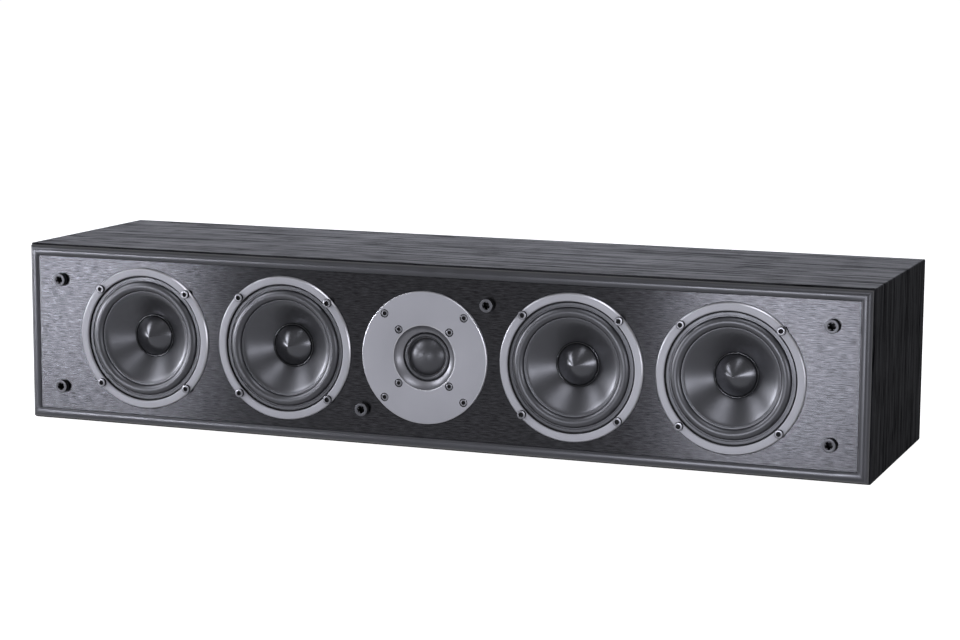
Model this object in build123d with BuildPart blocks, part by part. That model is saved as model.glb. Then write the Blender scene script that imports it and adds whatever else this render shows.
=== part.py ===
"""Passive centre channel speaker: a wrapped cabinet with four cone woofers and one dome tweeter.

Millimetres, +Z up, +X along the cabinet, front towards -Y. The origin is the middle of the underside.
"""
import os
from math import cos, hypot, pi, radians, sin, sqrt

from build123d import *

os.makedirs("parts", exist_ok=True)

# Cabinet
cabinet_width = 700
cabinet_height = 145
cabinet_depth = 190
cabinet_wall = 12
cabinet_edge_round = 1.0
seam_bevel_share = 0.6
panel_gap = 0.2
frame_width = 9.4
frame_depth = 6.0
frame_round = 4.8
frame_inner_round = 1.0
frame_inset = 0.4
baffle_recess = 1.8
baffle_thickness = 16
rear_thickness = 12
rear_inset = 3
brace_offset = 62
brace_thickness = 12
brace_window_depth = 90
brace_window_height = 70
brace_window_round = 20

# Places of the drivers along the cabinet
inner_woofer_offset = 119.5
outer_woofer_offset = 244.0
seat_gap = 0.3
cutout_gap = 0.8

# Woofer chassis and trim ring
ring_radius = 57.4
ring_width = 6.4
ring_thickness = 2.0
ring_bevel = 0.5
flange_thickness = 2.5
surround_seat = 1.4
basket_wall = 1.5
can_margin = 0.5
can_depth = 10
spider_seat = 28
spider_seat_width = 2.5
basket_depth = 40
window_count = 6
spoke_width = 9
window_margin = 1.5
woofer_screw_circle = 54.2
woofer_screw_count = 4

# Woofer moving parts
surround_gap = 0.8
surround_thickness = 0.6
surround_lip = 3.4
roll_width = 8.8
roll_height = 3.4
roll_wall = 1.0
cone_lip = 2.4
cone_thickness = 1.1
cone_bowl_depth = 16.0
cone_flare = 1.2
cap_radius = 16.0
cap_height = 11.0
cap_skirt = 1.0
cap_bulge = 1.4
cap_wall = 0.9
cap_seat_margin = 0.6
former_radius = 12.4
former_wall = 0.35
glue_gap = 0.05
neck_step = 3.0
former_reach = 1.0
winding_height = 0.55
winding_length = 11
spider_thickness = 0.6
spider_wave = 1.2
spider_wave_pitch = 8.0
spider_collar = 3.0

# Woofer motor
pole_gap = 0.4
winding_gap = 0.6
top_plate_radius = 30
top_plate_thickness = 5
magnet_radius = 35
magnet_hole_radius = 18
magnet_thickness = 15
yoke_radius = 33
yoke_thickness = 5

# Tweeter
plate_radius = 52
plate_thickness = 4.0
plate_proud = 1.8
plate_bevel = 0.5
hub_depth = 7.2
horn_mouth_radius = 25.3
horn_throat_radius = 19.6
horn_depth = 5.6
horn_curve = 0.6
dome_radius = 14.6
dome_height = 5.8
dome_wall = 0.5
tweeter_lip = 4.4
tweeter_lip_thickness = 0.5
tweeter_roll_margin = 0.6
tweeter_roll_height = 1.8
tweeter_roll_wall = 0.7
tweeter_former_wall = 0.4
tweeter_winding_height = 0.35
tweeter_winding_start = 1.0
tweeter_winding_length = 3.8
tweeter_pole_gap = 0.6
tweeter_winding_gap = 0.55
motor_radius = 36
tweeter_top_thickness = 5
tweeter_magnet_hole = 20
tweeter_magnet_thickness = 12
tweeter_yoke_margin = 2
tweeter_yoke_thickness = 5
tweeter_pole_drop = 1.0
tweeter_cutout_gap = 2
plate_screw_circle = 46.6
motor_screw_circle = 29.8
tweeter_screw_count = 4

# Screws: head radius and height, shank radius, and how deep they bite
woofer_head_radius = 3.2
woofer_head_height = 2.4
woofer_shank_radius = 1.9
woofer_screw_bite = 9
plate_head_radius = 2.9
plate_head_height = 2.0
plate_shank_radius = 1.7
plate_screw_bite = 9
motor_head_radius = 2.8
motor_head_height = 2.0
motor_shank_radius = 1.5
motor_screw_bite = 4
hex_key_share = 0.5
hex_depth_share = 0.6
head_gap = 0.4
shank_gap = 0.05
first_screw_angle = 45

# Grille sockets
socket_offset_x = 320
socket_offset_z = 44
middle_socket_offset_x = 52
socket_radius = 5.25
socket_height = 4.5
socket_bevel = 0.6
socket_hole_radius = 2.6
socket_hole_depth = 13
socket_spigot_radius = 4.2
socket_spigot_length = 11

# Reflex port
port_x = 182
port_radius = 24
port_wall = 2.5
port_length = 90
port_flange_radius = 34
port_flange_thickness = 2.5
port_flare = 7

# Connection cup on the back
cup_width = 70
cup_height = 50
cup_depth = 24
cup_wall = 2.5
cup_round = 6
cup_flange = 10
cup_flange_thickness = 2.5
cup_screw_inset = 4.5
cup_screw_radius = 1.5
cup_screw_head_radius = 2.8
cup_screw_head_height = 1.6
cup_screw_bite = 9
post_pitch = 19
post_collar_radius = 5.5
post_collar_height = 2.5
stud_radius = 3.0
stud_length = 17
plug_hole_radius = 2.05
plug_hole_depth = 12
tail_radius = 2.9
tail_length = 8
running_gap = 0.05
rest_gap = 0.3
washer_radius = 6.0
washer_thickness = 1.2
cap_knob_radius = 6.5
cap_knob_length = 12
cap_flute_count = 8
cap_flute_radius = 1.3

# Crossover and stuffing
board_x = -140
board_width = 110
board_height = 70
board_thickness = 1.6
standoff_radius = 4
standoff_height = 6
standoff_inset = 7
coil_radius = 16
coil_hole_radius = 6
coil_height = 20
coil_spacing = 44
coil_rise = 12
capacitor_radius = 7
capacitor_height = 28
capacitor_spacing = 26
capacitor_drop = 22
capacitor_count = 3
wadding_motor_gap = 6
wadding_depth = 120
wadding_headroom = 9

# Values that follow from the sizes above
axis_height = cabinet_height / 2
front_y = -cabinet_depth / 2
back_y = cabinet_depth / 2
seam_y = front_y + frame_depth
seam_bevel = cabinet_edge_round * seam_bevel_share
face_y = front_y + baffle_recess
baffle_back_y = face_y + baffle_thickness
rear_face_y = back_y - rear_inset
rear_inner_y = rear_face_y - rear_thickness
inner_width = cabinet_width - 2 * cabinet_wall
inner_height = cabinet_height - 2 * cabinet_wall
opening_width = cabinet_width - 2 * frame_width
opening_height = cabinet_height - 2 * frame_width
woofer_places = [
    -outer_woofer_offset,
    -inner_woofer_offset,
    inner_woofer_offset,
    outer_woofer_offset,
]
socket_places = [
    (-socket_offset_x, socket_offset_z),
    (socket_offset_x, socket_offset_z),
    (-socket_offset_x, -socket_offset_z),
    (socket_offset_x, -socket_offset_z),
    (middle_socket_offset_x, socket_offset_z),
    (-middle_socket_offset_x, -socket_offset_z),
]
ring_inner = ring_radius - ring_width
lip_outer = ring_inner - surround_gap
roll_outer = lip_outer - surround_lip
roll_inner = roll_outer - roll_width
cone_radius = roll_inner
bowl_radius = cone_radius - cone_lip
can_inner = roll_outer - can_margin
can_outer = can_inner + basket_wall
cap_seat = surround_seat + cone_bowl_depth
cap_seat_radius = cap_radius + cap_seat_margin
neck_radius = former_radius + former_wall + glue_gap
neck_depth = cap_seat + neck_step
former_front = neck_depth - former_reach
winding_outer = former_radius + former_wall + winding_height
motor_hole = winding_outer + winding_gap
pole_radius = former_radius - pole_gap
gap_middle = basket_depth + top_plate_thickness / 2
former_back = gap_middle + winding_length / 2
spider_inner = former_radius + former_wall + glue_gap
spider_outer = top_plate_radius
magnet_back = basket_depth + top_plate_thickness + magnet_thickness
plate_front = -plate_proud
plate_recess = plate_thickness - plate_proud
hub_back = plate_front + hub_depth
lip_back = hub_back + tweeter_lip_thickness
tweeter_top_back = lip_back + tweeter_top_thickness
tweeter_magnet_back = tweeter_top_back + tweeter_magnet_thickness
tweeter_winding_radius = dome_radius + tweeter_winding_height
tweeter_pole_radius = dome_radius - tweeter_former_wall - tweeter_pole_gap
cup_floor_y = rear_face_y - cup_depth + cup_wall
board_back_y = rear_inner_y - standoff_height
board_front_y = board_back_y - board_thickness


def front_plane(depth, base_y=face_y):
    """Upright plane at a depth behind the baffle's face: sketch x is X, sketch y is Z, normal to the front."""
    return Plane.XZ.offset(-(base_y + depth))


def back_plane(y):
    """Upright plane at y that faces the back: sketch x is -X, sketch y is Z."""
    return Plane(origin=(0, y, 0), x_dir=(-1, 0, 0), z_dir=(0, 1, 0))


def section_plane(x, z=axis_height, base_y=face_y):
    """Half section of a turned piece about a front-to-back axis: sketch x is the radius, sketch y the depth."""
    return Plane(origin=(x, base_y, z), x_dir=(1, 0, 0), z_dir=(0, 0, 1))


def turning_axis(x, z=axis_height):
    """Front-to-back axis through x and z."""
    return Axis((x, 0, z), (0, 1, 0))


def bowed(start, end, rise):
    """Arc from start to end whose middle stands rise to the left of the straight line between them."""
    length = hypot(end[0] - start[0], end[1] - start[1])
    middle_x = (start[0] + end[0]) / 2 - rise * (end[1] - start[1]) / length
    middle_y = (start[1] + end[1]) / 2 + rise * (end[0] - start[0]) / length
    return ThreePointArc(start, (middle_x, middle_y), end)


def arc_rise(start, end, radius):
    """How far an arc of a radius stands from the straight line between its ends."""
    half = hypot(end[0] - start[0], end[1] - start[1]) / 2
    return radius - sqrt(radius**2 - half**2)


def turned(x, outline, z=axis_height, base_y=face_y):
    """A turned piece from a closed outline of (radius, depth) corners."""
    with BuildPart() as piece:
        with BuildSketch(section_plane(x, z, base_y)):
            with BuildLine():
                Polyline(*outline, close=True)
            make_face()
        revolve(axis=turning_axis(x, z))
    return piece


def turned_group(places, outline, base_y=face_y):
    """Like pieces in one group, each turned about its own (x, z) place."""
    with BuildPart() as group:
        for x, z in places:
            with BuildSketch(section_plane(x, z, base_y)):
                with BuildLine():
                    Polyline(*outline, close=True)
                make_face()
            revolve(axis=turning_axis(x, z))
    return group


def screw_group(centres, circle, count, seat, length, head_radius, head_height, shank_radius):
    """Socket-head screws on circles about the centres. Heads stand forward of the depth of their seat."""
    hex_radius = head_radius * hex_key_share / cos(radians(30))
    with BuildPart() as screws:
        with BuildSketch(front_plane(seat)):
            with Locations(*centres):
                with PolarLocations(circle, count, start_angle=first_screw_angle):
                    Circle(head_radius)
        extrude(amount=head_height)
        with BuildSketch(front_plane(seat)):
            with Locations(*centres):
                with PolarLocations(circle, count, start_angle=first_screw_angle):
                    Circle(shank_radius)
        extrude(amount=-length)
        with BuildSketch(front_plane(seat - head_height)):
            with Locations(*centres):
                with PolarLocations(circle, count, start_angle=first_screw_angle):
                    RegularPolygon(hex_radius, 6)
        extrude(amount=-head_height * hex_depth_share, mode=Mode.SUBTRACT)
    return screws


def keep(piece, name):
    """Labels a finished piece and writes it."""
    piece.part.label = name
    export_step(piece.part, f"parts/{name}.step")


woofer_centres = [(x, axis_height) for x in woofer_places]

# Cabinet sleeve: one grooved and folded board that forms top, bottom and both ends
with BuildPart() as cabinet_sleeve:
    with BuildSketch(front_plane(0, seam_y)):
        with Locations((0, axis_height)):
            Rectangle(cabinet_width, cabinet_height)
            Rectangle(inner_width, inner_height, mode=Mode.SUBTRACT)
    extrude(amount=seam_y - back_y)
    long_edges = cabinet_sleeve.edges().filter_by(Axis.Y)
    corner_distance = hypot(cabinet_width / 2, cabinet_height / 2) - cabinet_wall / 2
    outer_edges = long_edges.filter_by(lambda e: hypot(e.center().X, e.center().Z - axis_height) > corner_distance)
    fillet(outer_edges, radius=cabinet_edge_round)
    seam_face = cabinet_sleeve.faces().sort_by(Axis.Y)[0]
    chamfer(seam_face.outer_wire().edges(), length=seam_bevel)
keep(cabinet_sleeve, "cabinet_sleeve")

# Front frame: moulded in one, rounded outside, lightly eased inside
with BuildPart() as front_frame:
    with BuildSketch(front_plane(0, seam_y)):
        with Locations((0, axis_height)):
            Rectangle(cabinet_width - 2 * frame_inset, cabinet_height - 2 * frame_inset)
            Rectangle(opening_width, opening_height, mode=Mode.SUBTRACT)
    extrude(amount=frame_depth)
    frame_face = front_frame.faces().sort_by(Axis.Y)[0]
    outer_rim = frame_face.outer_wire().edges()
    inner_rim = frame_face.inner_wires()[0].edges()
    fillet(outer_rim, radius=min(frame_round, frame_depth - seam_bevel))
    chamfer(inner_rim, length=frame_inner_round)
keep(front_frame, "front_frame")

# Front baffle: a board with a lip that fills the frame and a plug that fills the sleeve
with BuildPart() as front_baffle:
    with BuildSketch(front_plane(0)):
        with Locations((0, axis_height)):
            Rectangle(opening_width - 2 * panel_gap, opening_height - 2 * panel_gap)
    extrude(amount=face_y - seam_y)
    with BuildSketch(front_plane(0, seam_y)):
        with Locations((0, axis_height)):
            Rectangle(inner_width - 2 * panel_gap, inner_height - 2 * panel_gap)
    extrude(amount=seam_y - baffle_back_y)
    with BuildSketch(front_plane(0)):
        with Locations(*woofer_centres):
            Circle(ring_radius + seat_gap)
    extrude(amount=-flange_thickness, mode=Mode.SUBTRACT)
    with BuildSketch(front_plane(0)):
        with Locations(*woofer_centres):
            Circle(can_outer + cutout_gap)
        with Locations((0, axis_height)):
            Circle(motor_radius + tweeter_cutout_gap)
    extrude(amount=-baffle_thickness, mode=Mode.SUBTRACT)
    with BuildSketch(front_plane(0)):
        with Locations((0, axis_height)):
            Circle(plate_radius + seat_gap)
    extrude(amount=-plate_recess, mode=Mode.SUBTRACT)
    with BuildSketch(front_plane(0)):
        with Locations(*woofer_centres):
            with PolarLocations(woofer_screw_circle, woofer_screw_count, start_angle=first_screw_angle):
                Circle(woofer_shank_radius + shank_gap)
    extrude(amount=-(flange_thickness + woofer_screw_bite), mode=Mode.SUBTRACT)
    with BuildSketch(front_plane(0)):
        with Locations((0, axis_height)):
            with PolarLocations(plate_screw_circle, tweeter_screw_count, start_angle=first_screw_angle):
                Circle(plate_shank_radius + shank_gap)
    extrude(amount=-(plate_recess + plate_screw_bite), mode=Mode.SUBTRACT)
    with BuildSketch(front_plane(0)):
        with Locations(*[(x, axis_height + z) for x, z in socket_places]):
            Circle(socket_spigot_radius + shank_gap)
    extrude(amount=-(socket_spigot_length + panel_gap), mode=Mode.SUBTRACT)
keep(front_baffle, "front_baffle")

# Rear panel, set in from the sleeve's back edge
with BuildPart() as rear_panel:
    with BuildSketch(back_plane(rear_inner_y)):
        with Locations((0, axis_height)):
            Rectangle(inner_width - 2 * panel_gap, inner_height - 2 * panel_gap)
        with Locations((-port_x, axis_height)):
            Circle(port_radius + port_wall + panel_gap, mode=Mode.SUBTRACT)
        with Locations((0, axis_height)):
            RectangleRounded(
                cup_width + 2 * panel_gap, cup_height + 2 * panel_gap, cup_round + panel_gap, mode=Mode.SUBTRACT
            )
    extrude(amount=rear_thickness)
    with BuildSketch(back_plane(rear_face_y)):
        with Locations((0, axis_height)):
            with GridLocations(
                cup_width + 2 * cup_flange - 2 * cup_screw_inset,
                cup_height + 2 * cup_flange - 2 * cup_screw_inset,
                2,
                2,
            ):
                Circle(cup_screw_radius + shank_gap)
    extrude(amount=-cup_screw_bite, mode=Mode.SUBTRACT)
keep(rear_panel, "rear_panel")

# Window braces between the tweeter and the woofers
for side, name in ((-1, "brace_left"), (1, "brace_right")):
    brace_middle_y = (baffle_back_y + rear_inner_y) / 2
    with BuildPart() as brace:
        with BuildSketch(Plane.YZ.offset(side * brace_offset)):
            with Locations((brace_middle_y, axis_height)):
                Rectangle(rear_inner_y - baffle_back_y - 2 * panel_gap, inner_height - 2 * panel_gap)
                RectangleRounded(
                    brace_window_depth, brace_window_height, brace_window_round, mode=Mode.SUBTRACT
                )
        extrude(amount=brace_thickness / 2, both=True)
    keep(brace, name)


# Woofer trim ring, held under the screw heads
def trim_ring(x):
    blank = turned(x, [
        (ring_inner, 0),
        (ring_radius, 0),
        (ring_radius, ring_bevel - ring_thickness),
        (ring_radius - ring_bevel, -ring_thickness),
        (ring_inner + ring_bevel, -ring_thickness),
        (ring_inner, ring_bevel - ring_thickness),
    ])
    with BuildPart() as ring:
        add(blank.part)
        with BuildSketch(front_plane(0)):
            with Locations((x, axis_height)):
                with PolarLocations(woofer_screw_circle, woofer_screw_count, start_angle=first_screw_angle):
                    Circle(woofer_shank_radius + shank_gap)
        extrude(amount=ring_thickness, mode=Mode.SUBTRACT)
    return ring


# Woofer basket: flange, can, open spokes, spider seat and motor plate
def basket(x):
    ledge_outer = spider_outer + seat_gap
    ledge_inner = ledge_outer - spider_seat_width
    blank = turned(x, [
        (ring_radius, 0),
        (ring_inner, 0),
        (ring_inner, surround_seat),
        (can_inner, surround_seat),
        (can_inner, can_depth),
        (ledge_outer, spider_seat),
        (ledge_inner, spider_seat),
        (ledge_inner, basket_depth - basket_wall),
        (magnet_hole_radius, basket_depth - basket_wall),
        (magnet_hole_radius, basket_depth),
        (ledge_inner + basket_wall, basket_depth),
        (ledge_inner + basket_wall, spider_seat + basket_wall),
        (ledge_outer + basket_wall, spider_seat + basket_wall),
        (can_outer, can_depth + basket_wall / 2),
        (can_outer, flange_thickness),
        (ring_radius, flange_thickness),
    ])
    window_outer = can_inner - window_margin
    window_inner = ledge_outer + basket_wall + window_margin
    with BuildPart() as chassis:
        add(blank.part)
        with BuildSketch(front_plane(spider_seat)):
            with Locations((x, axis_height)):
                Circle(window_outer)
                Circle(window_inner, mode=Mode.SUBTRACT)
                with PolarLocations((window_outer + window_inner) / 2, window_count):
                    Rectangle(window_outer, spoke_width, mode=Mode.SUBTRACT)
        extrude(amount=spider_seat - surround_seat, mode=Mode.SUBTRACT)
        with BuildSketch(front_plane(0)):
            with Locations((x, axis_height)):
                with PolarLocations(woofer_screw_circle, woofer_screw_count, start_angle=first_screw_angle):
                    Circle(woofer_shank_radius + shank_gap)
        extrude(amount=-flange_thickness, mode=Mode.SUBTRACT)
    return chassis


# Woofer surround: a half roll between two flat lips
def surround(x):
    lip_front = surround_seat - surround_thickness
    hollow = surround_seat - roll_height - surround_thickness + roll_wall
    shoulder = roll_width / 4
    with BuildPart() as roll:
        with BuildSketch(section_plane(x)):
            with BuildLine():
                Polyline((roll_outer, lip_front), (lip_outer, lip_front), (lip_outer, surround_seat))
                Polyline(
                    (lip_outer, surround_seat),
                    (roll_outer - surround_thickness, surround_seat),
                    (roll_outer - shoulder, hollow),
                    (roll_inner + shoulder, hollow),
                    (roll_inner + surround_thickness, surround_seat),
                    (bowl_radius, surround_seat),
                    (bowl_radius, lip_front),
                    (roll_inner, lip_front),
                )
                ThreePointArc(
                    (roll_inner, lip_front),
                    ((roll_inner + roll_outer) / 2, lip_front - roll_height),
                    (roll_outer, lip_front),
                )
            make_face()
        revolve(axis=turning_axis(x))
    return roll


# Woofer cone: flat glue lip, flared bowl and neck on the coil former
def cone(x):
    rim_front = (cone_radius, surround_seat)
    bowl_front = (bowl_radius, surround_seat)
    seat_front = (cap_seat_radius, cap_seat)
    neck_front = (neck_radius, neck_depth)
    rim_back, bowl_back, seat_back, neck_back = (
        (radius, depth + cone_thickness) for radius, depth in (rim_front, bowl_front, seat_front, neck_front)
    )
    with BuildPart() as shell:
        with BuildSketch(section_plane(x)):
            with BuildLine():
                Line(rim_front, bowl_front)
                bowed(bowl_front, seat_front, cone_flare)
                Polyline(seat_front, neck_front, neck_back, seat_back)
                bowed(seat_back, bowl_back, -cone_flare)
                Polyline(bowl_back, rim_back, rim_front)
            make_face()
        revolve(axis=turning_axis(x))
    return shell


# Woofer dust cap: a pointed, slightly swollen cone on a short skirt
def dust_cap(x):
    tip = cap_seat - cap_height
    flank = ((cap_radius + cap_bulge) / 2, (tip + cap_seat - cap_skirt - cap_bulge) / 2)
    return turned(x, [
        (cap_radius - cap_wall, cap_seat),
        (cap_radius, cap_seat),
        (cap_radius, cap_seat - cap_skirt),
        flank,
        (0, tip),
        (0, tip + cap_wall),
    ])


# Woofer voice coil: former with its winding at the back
def voice_coil(x):
    former_outer = former_radius + former_wall
    return turned(x, [
        (former_radius, former_front),
        (former_outer, former_front),
        (former_outer, former_back - winding_length),
        (winding_outer, former_back - winding_length),
        (winding_outer, former_back),
        (former_radius, former_back),
    ])


# Woofer spider: a corrugated ring from the former to its seat in the basket
def spider(x):
    front = spider_seat - spider_thickness
    wave_start = spider_inner + spider_collar
    front_side = [
        (spider_inner, front),
        (wave_start, front),
        (wave_start + spider_wave_pitch / 4, front - spider_wave),
        (wave_start + spider_wave_pitch * 3 / 4, front + spider_wave),
        (wave_start + spider_wave_pitch, front),
        (spider_outer, front),
    ]
    back_side = [(radius, depth + spider_thickness) for radius, depth in reversed(front_side)]
    return turned(x, front_side + back_side)


for number, place in enumerate(woofer_places, start=1):
    keep(trim_ring(place), f"woofer_{number}_trim_ring")
    keep(basket(place), f"woofer_{number}_basket")
    keep(surround(place), f"woofer_{number}_surround")
    keep(cone(place), f"woofer_{number}_cone")
    keep(dust_cap(place), f"woofer_{number}_dust_cap")
    keep(voice_coil(place), f"woofer_{number}_voice_coil")
    keep(spider(place), f"woofer_{number}_spider")

# Woofer motors: top plate, ferrite ring and yoke with its pole
woofer_top_plates = turned_group(woofer_centres, [
    (motor_hole, basket_depth),
    (top_plate_radius, basket_depth),
    (top_plate_radius, basket_depth + top_plate_thickness),
    (motor_hole, basket_depth + top_plate_thickness),
])
keep(woofer_top_plates, "woofer_top_plates")

woofer_magnets = turned_group(woofer_centres, [
    (magnet_hole_radius, magnet_back - magnet_thickness),
    (magnet_radius, magnet_back - magnet_thickness),
    (magnet_radius, magnet_back),
    (magnet_hole_radius, magnet_back),
])
keep(woofer_magnets, "woofer_magnets")

woofer_yokes = turned_group(woofer_centres, [
    (0, basket_depth),
    (pole_radius, basket_depth),
    (pole_radius, magnet_back),
    (yoke_radius, magnet_back),
    (yoke_radius, magnet_back + yoke_thickness),
    (0, magnet_back + yoke_thickness),
])
keep(woofer_yokes, "woofer_yokes")

woofer_screws = screw_group(
    woofer_centres,
    woofer_screw_circle,
    woofer_screw_count,
    -ring_thickness,
    ring_thickness + flange_thickness + woofer_screw_bite,
    woofer_head_radius,
    woofer_head_height,
    woofer_shank_radius,
)
keep(woofer_screws, "woofer_screws")

# Tweeter faceplate: a turned disc with a short flared horn and a hub behind it
tweeter_centre = [(0, axis_height)]
with BuildPart() as tweeter_faceplate:
    with BuildSketch(section_plane(0)):
        with BuildLine():
            Polyline(
                (horn_throat_radius, plate_front + horn_depth),
                (horn_throat_radius, hub_back),
                (motor_radius, hub_back),
                (motor_radius, plate_front + plate_thickness),
                (plate_radius, plate_front + plate_thickness),
                (plate_radius, plate_front + plate_bevel),
                (plate_radius - plate_bevel, plate_front),
                (horn_mouth_radius, plate_front),
            )
            bowed((horn_mouth_radius, plate_front), (horn_throat_radius, plate_front + horn_depth), -horn_curve)
        make_face()
    revolve(axis=turning_axis(0))
    for circle, head_radius, head_height, shank_radius in (
        (plate_screw_circle, plate_head_radius, plate_head_height, plate_shank_radius),
        (motor_screw_circle, motor_head_radius, motor_head_height, motor_shank_radius),
    ):
        with BuildSketch(front_plane(plate_front)):
            with Locations(*tweeter_centre):
                with PolarLocations(circle, tweeter_screw_count, start_angle=first_screw_angle):
                    Circle(head_radius + head_gap)
        extrude(amount=-head_height, mode=Mode.SUBTRACT)
        with BuildSketch(front_plane(plate_front)):
            with Locations(*tweeter_centre):
                with PolarLocations(circle, tweeter_screw_count, start_angle=first_screw_angle):
                    Circle(shank_radius + shank_gap)
        extrude(amount=-hub_depth, mode=Mode.SUBTRACT)
keep(tweeter_faceplate, "tweeter_faceplate")

# Tweeter surround: a small roll clamped between the hub and the top plate
tweeter_roll_outer = horn_throat_radius - tweeter_roll_margin
tweeter_roll_inner = dome_radius + tweeter_roll_margin
tweeter_hollow = hub_back - tweeter_roll_height + tweeter_roll_wall
with BuildPart() as tweeter_surround:
    with BuildSketch(section_plane(0)):
        with BuildLine():
            Polyline(
                (tweeter_roll_outer, hub_back),
                (horn_throat_radius + tweeter_lip, hub_back),
                (horn_throat_radius + tweeter_lip, lip_back),
                (tweeter_roll_outer - tweeter_roll_margin, lip_back),
                (tweeter_roll_outer - 2 * tweeter_roll_margin, tweeter_hollow),
                (tweeter_roll_inner + 2 * tweeter_roll_margin, tweeter_hollow),
                (tweeter_roll_inner + tweeter_roll_margin, lip_back),
                (dome_radius + glue_gap, lip_back),
                (dome_radius + glue_gap, hub_back),
                (tweeter_roll_inner, hub_back),
            )
            ThreePointArc(
                (tweeter_roll_inner, hub_back),
                ((tweeter_roll_inner + tweeter_roll_outer) / 2, hub_back - tweeter_roll_height),
                (tweeter_roll_outer, hub_back),
            )
        make_face()
    revolve(axis=turning_axis(0))
keep(tweeter_surround, "tweeter_surround")

# Tweeter dome: a shallow pressed cap
dome_tip = hub_back - dome_height
dome_sphere = (dome_radius**2 + dome_height**2) / (2 * dome_height)
inner_radius = dome_radius - dome_wall
inner_height_of_dome = lip_back - dome_tip - dome_wall
inner_sphere = (inner_radius**2 + inner_height_of_dome**2) / (2 * inner_height_of_dome)
with BuildPart() as tweeter_dome:
    with BuildSketch(section_plane(0)):
        with BuildLine():
            rim = (dome_radius, hub_back)
            crown = (0, dome_tip)
            inner_crown = (0, dome_tip + dome_wall)
            inner_rim_point = (inner_radius, lip_back)
            bowed(rim, crown, arc_rise(rim, crown, dome_sphere))
            Line(crown, inner_crown)
            bowed(inner_crown, inner_rim_point, -arc_rise(inner_crown, inner_rim_point, inner_sphere))
            Polyline(inner_rim_point, (dome_radius, lip_back), rim)
        make_face()
    revolve(axis=turning_axis(0))
keep(tweeter_dome, "tweeter_dome")

# Tweeter voice coil and motor
tweeter_coil_back = lip_back + tweeter_winding_start + tweeter_winding_length
tweeter_voice_coil = turned(0, [
    (dome_radius - tweeter_former_wall, lip_back),
    (dome_radius, lip_back),
    (dome_radius, lip_back + tweeter_winding_start),
    (tweeter_winding_radius, lip_back + tweeter_winding_start),
    (tweeter_winding_radius, tweeter_coil_back),
    (dome_radius - tweeter_former_wall, tweeter_coil_back),
])
keep(tweeter_voice_coil, "tweeter_voice_coil")

top_plate_blank = turned(0, [
    (tweeter_winding_radius + tweeter_winding_gap, lip_back),
    (motor_radius, lip_back),
    (motor_radius, tweeter_top_back),
    (tweeter_winding_radius + tweeter_winding_gap, tweeter_top_back),
])
with BuildPart() as tweeter_top_plate:
    add(top_plate_blank.part)
    with BuildSketch(front_plane(lip_back)):
        with Locations(*tweeter_centre):
            with PolarLocations(motor_screw_circle, tweeter_screw_count, start_angle=first_screw_angle):
                Circle(motor_shank_radius + shank_gap)
    extrude(amount=-tweeter_top_thickness, mode=Mode.SUBTRACT)
keep(tweeter_top_plate, "tweeter_top_plate")

tweeter_magnet = turned(0, [
    (tweeter_magnet_hole, tweeter_top_back),
    (motor_radius, tweeter_top_back),
    (motor_radius, tweeter_magnet_back),
    (tweeter_magnet_hole, tweeter_magnet_back),
])
keep(tweeter_magnet, "tweeter_magnet")

tweeter_yoke = turned(0, [
    (0, lip_back + tweeter_pole_drop),
    (tweeter_pole_radius, lip_back + tweeter_pole_drop),
    (tweeter_pole_radius, tweeter_magnet_back),
    (motor_radius - tweeter_yoke_margin, tweeter_magnet_back),
    (motor_radius - tweeter_yoke_margin, tweeter_magnet_back + tweeter_yoke_thickness),
    (0, tweeter_magnet_back + tweeter_yoke_thickness),
])
keep(tweeter_yoke, "tweeter_yoke")

tweeter_plate_screws = screw_group(
    tweeter_centre,
    plate_screw_circle,
    tweeter_screw_count,
    plate_front + plate_head_height,
    plate_thickness - plate_head_height + plate_screw_bite,
    plate_head_radius,
    plate_head_height,
    plate_shank_radius,
)
keep(tweeter_plate_screws, "tweeter_plate_screws")

tweeter_motor_screws = screw_group(
    tweeter_centre,
    motor_screw_circle,
    tweeter_screw_count,
    plate_front + motor_head_height,
    hub_depth - motor_head_height + tweeter_lip_thickness + motor_screw_bite,
    motor_head_radius,
    motor_head_height,
    motor_shank_radius,
)
keep(tweeter_motor_screws, "tweeter_motor_screws")

# Grille sockets: bevelled ferrules pressed into the baffle
hole_bottom = socket_hole_depth - socket_height
grille_sockets = turned_group([(x, axis_height + z) for x, z in socket_places], [
    (0, socket_spigot_length),
    (socket_spigot_radius, socket_spigot_length),
    (socket_spigot_radius, 0),
    (socket_radius, 0),
    (socket_radius, socket_bevel - socket_height),
    (socket_radius - socket_bevel, -socket_height),
    (socket_hole_radius, -socket_height),
    (socket_hole_radius, hole_bottom),
    (0, hole_bottom),
])
keep(grille_sockets, "grille_sockets")

# Reflex port: a flared tube with a flange on the rear panel
port_outer = port_radius + port_wall
with BuildPart() as reflex_port:
    with BuildSketch(section_plane(port_x, base_y=rear_face_y)):
        with BuildLine():
            Polyline(
                (port_radius, port_flange_thickness - port_flare),
                (port_radius, port_flange_thickness - port_length),
                (port_outer, port_flange_thickness - port_length),
                (port_outer, 0),
                (port_flange_radius, 0),
                (port_flange_radius, port_flange_thickness),
                (port_radius + port_flare, port_flange_thickness),
            )
            ThreePointArc(
                (port_radius + port_flare, port_flange_thickness),
                (
                    port_radius + port_flare * (1 - cos(pi / 4)),
                    port_flange_thickness - port_flare * (1 - sin(pi / 4)),
                ),
                (port_radius, port_flange_thickness - port_flare),
            )
        make_face()
    revolve(axis=turning_axis(port_x))
keep(reflex_port, "reflex_port")

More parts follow.
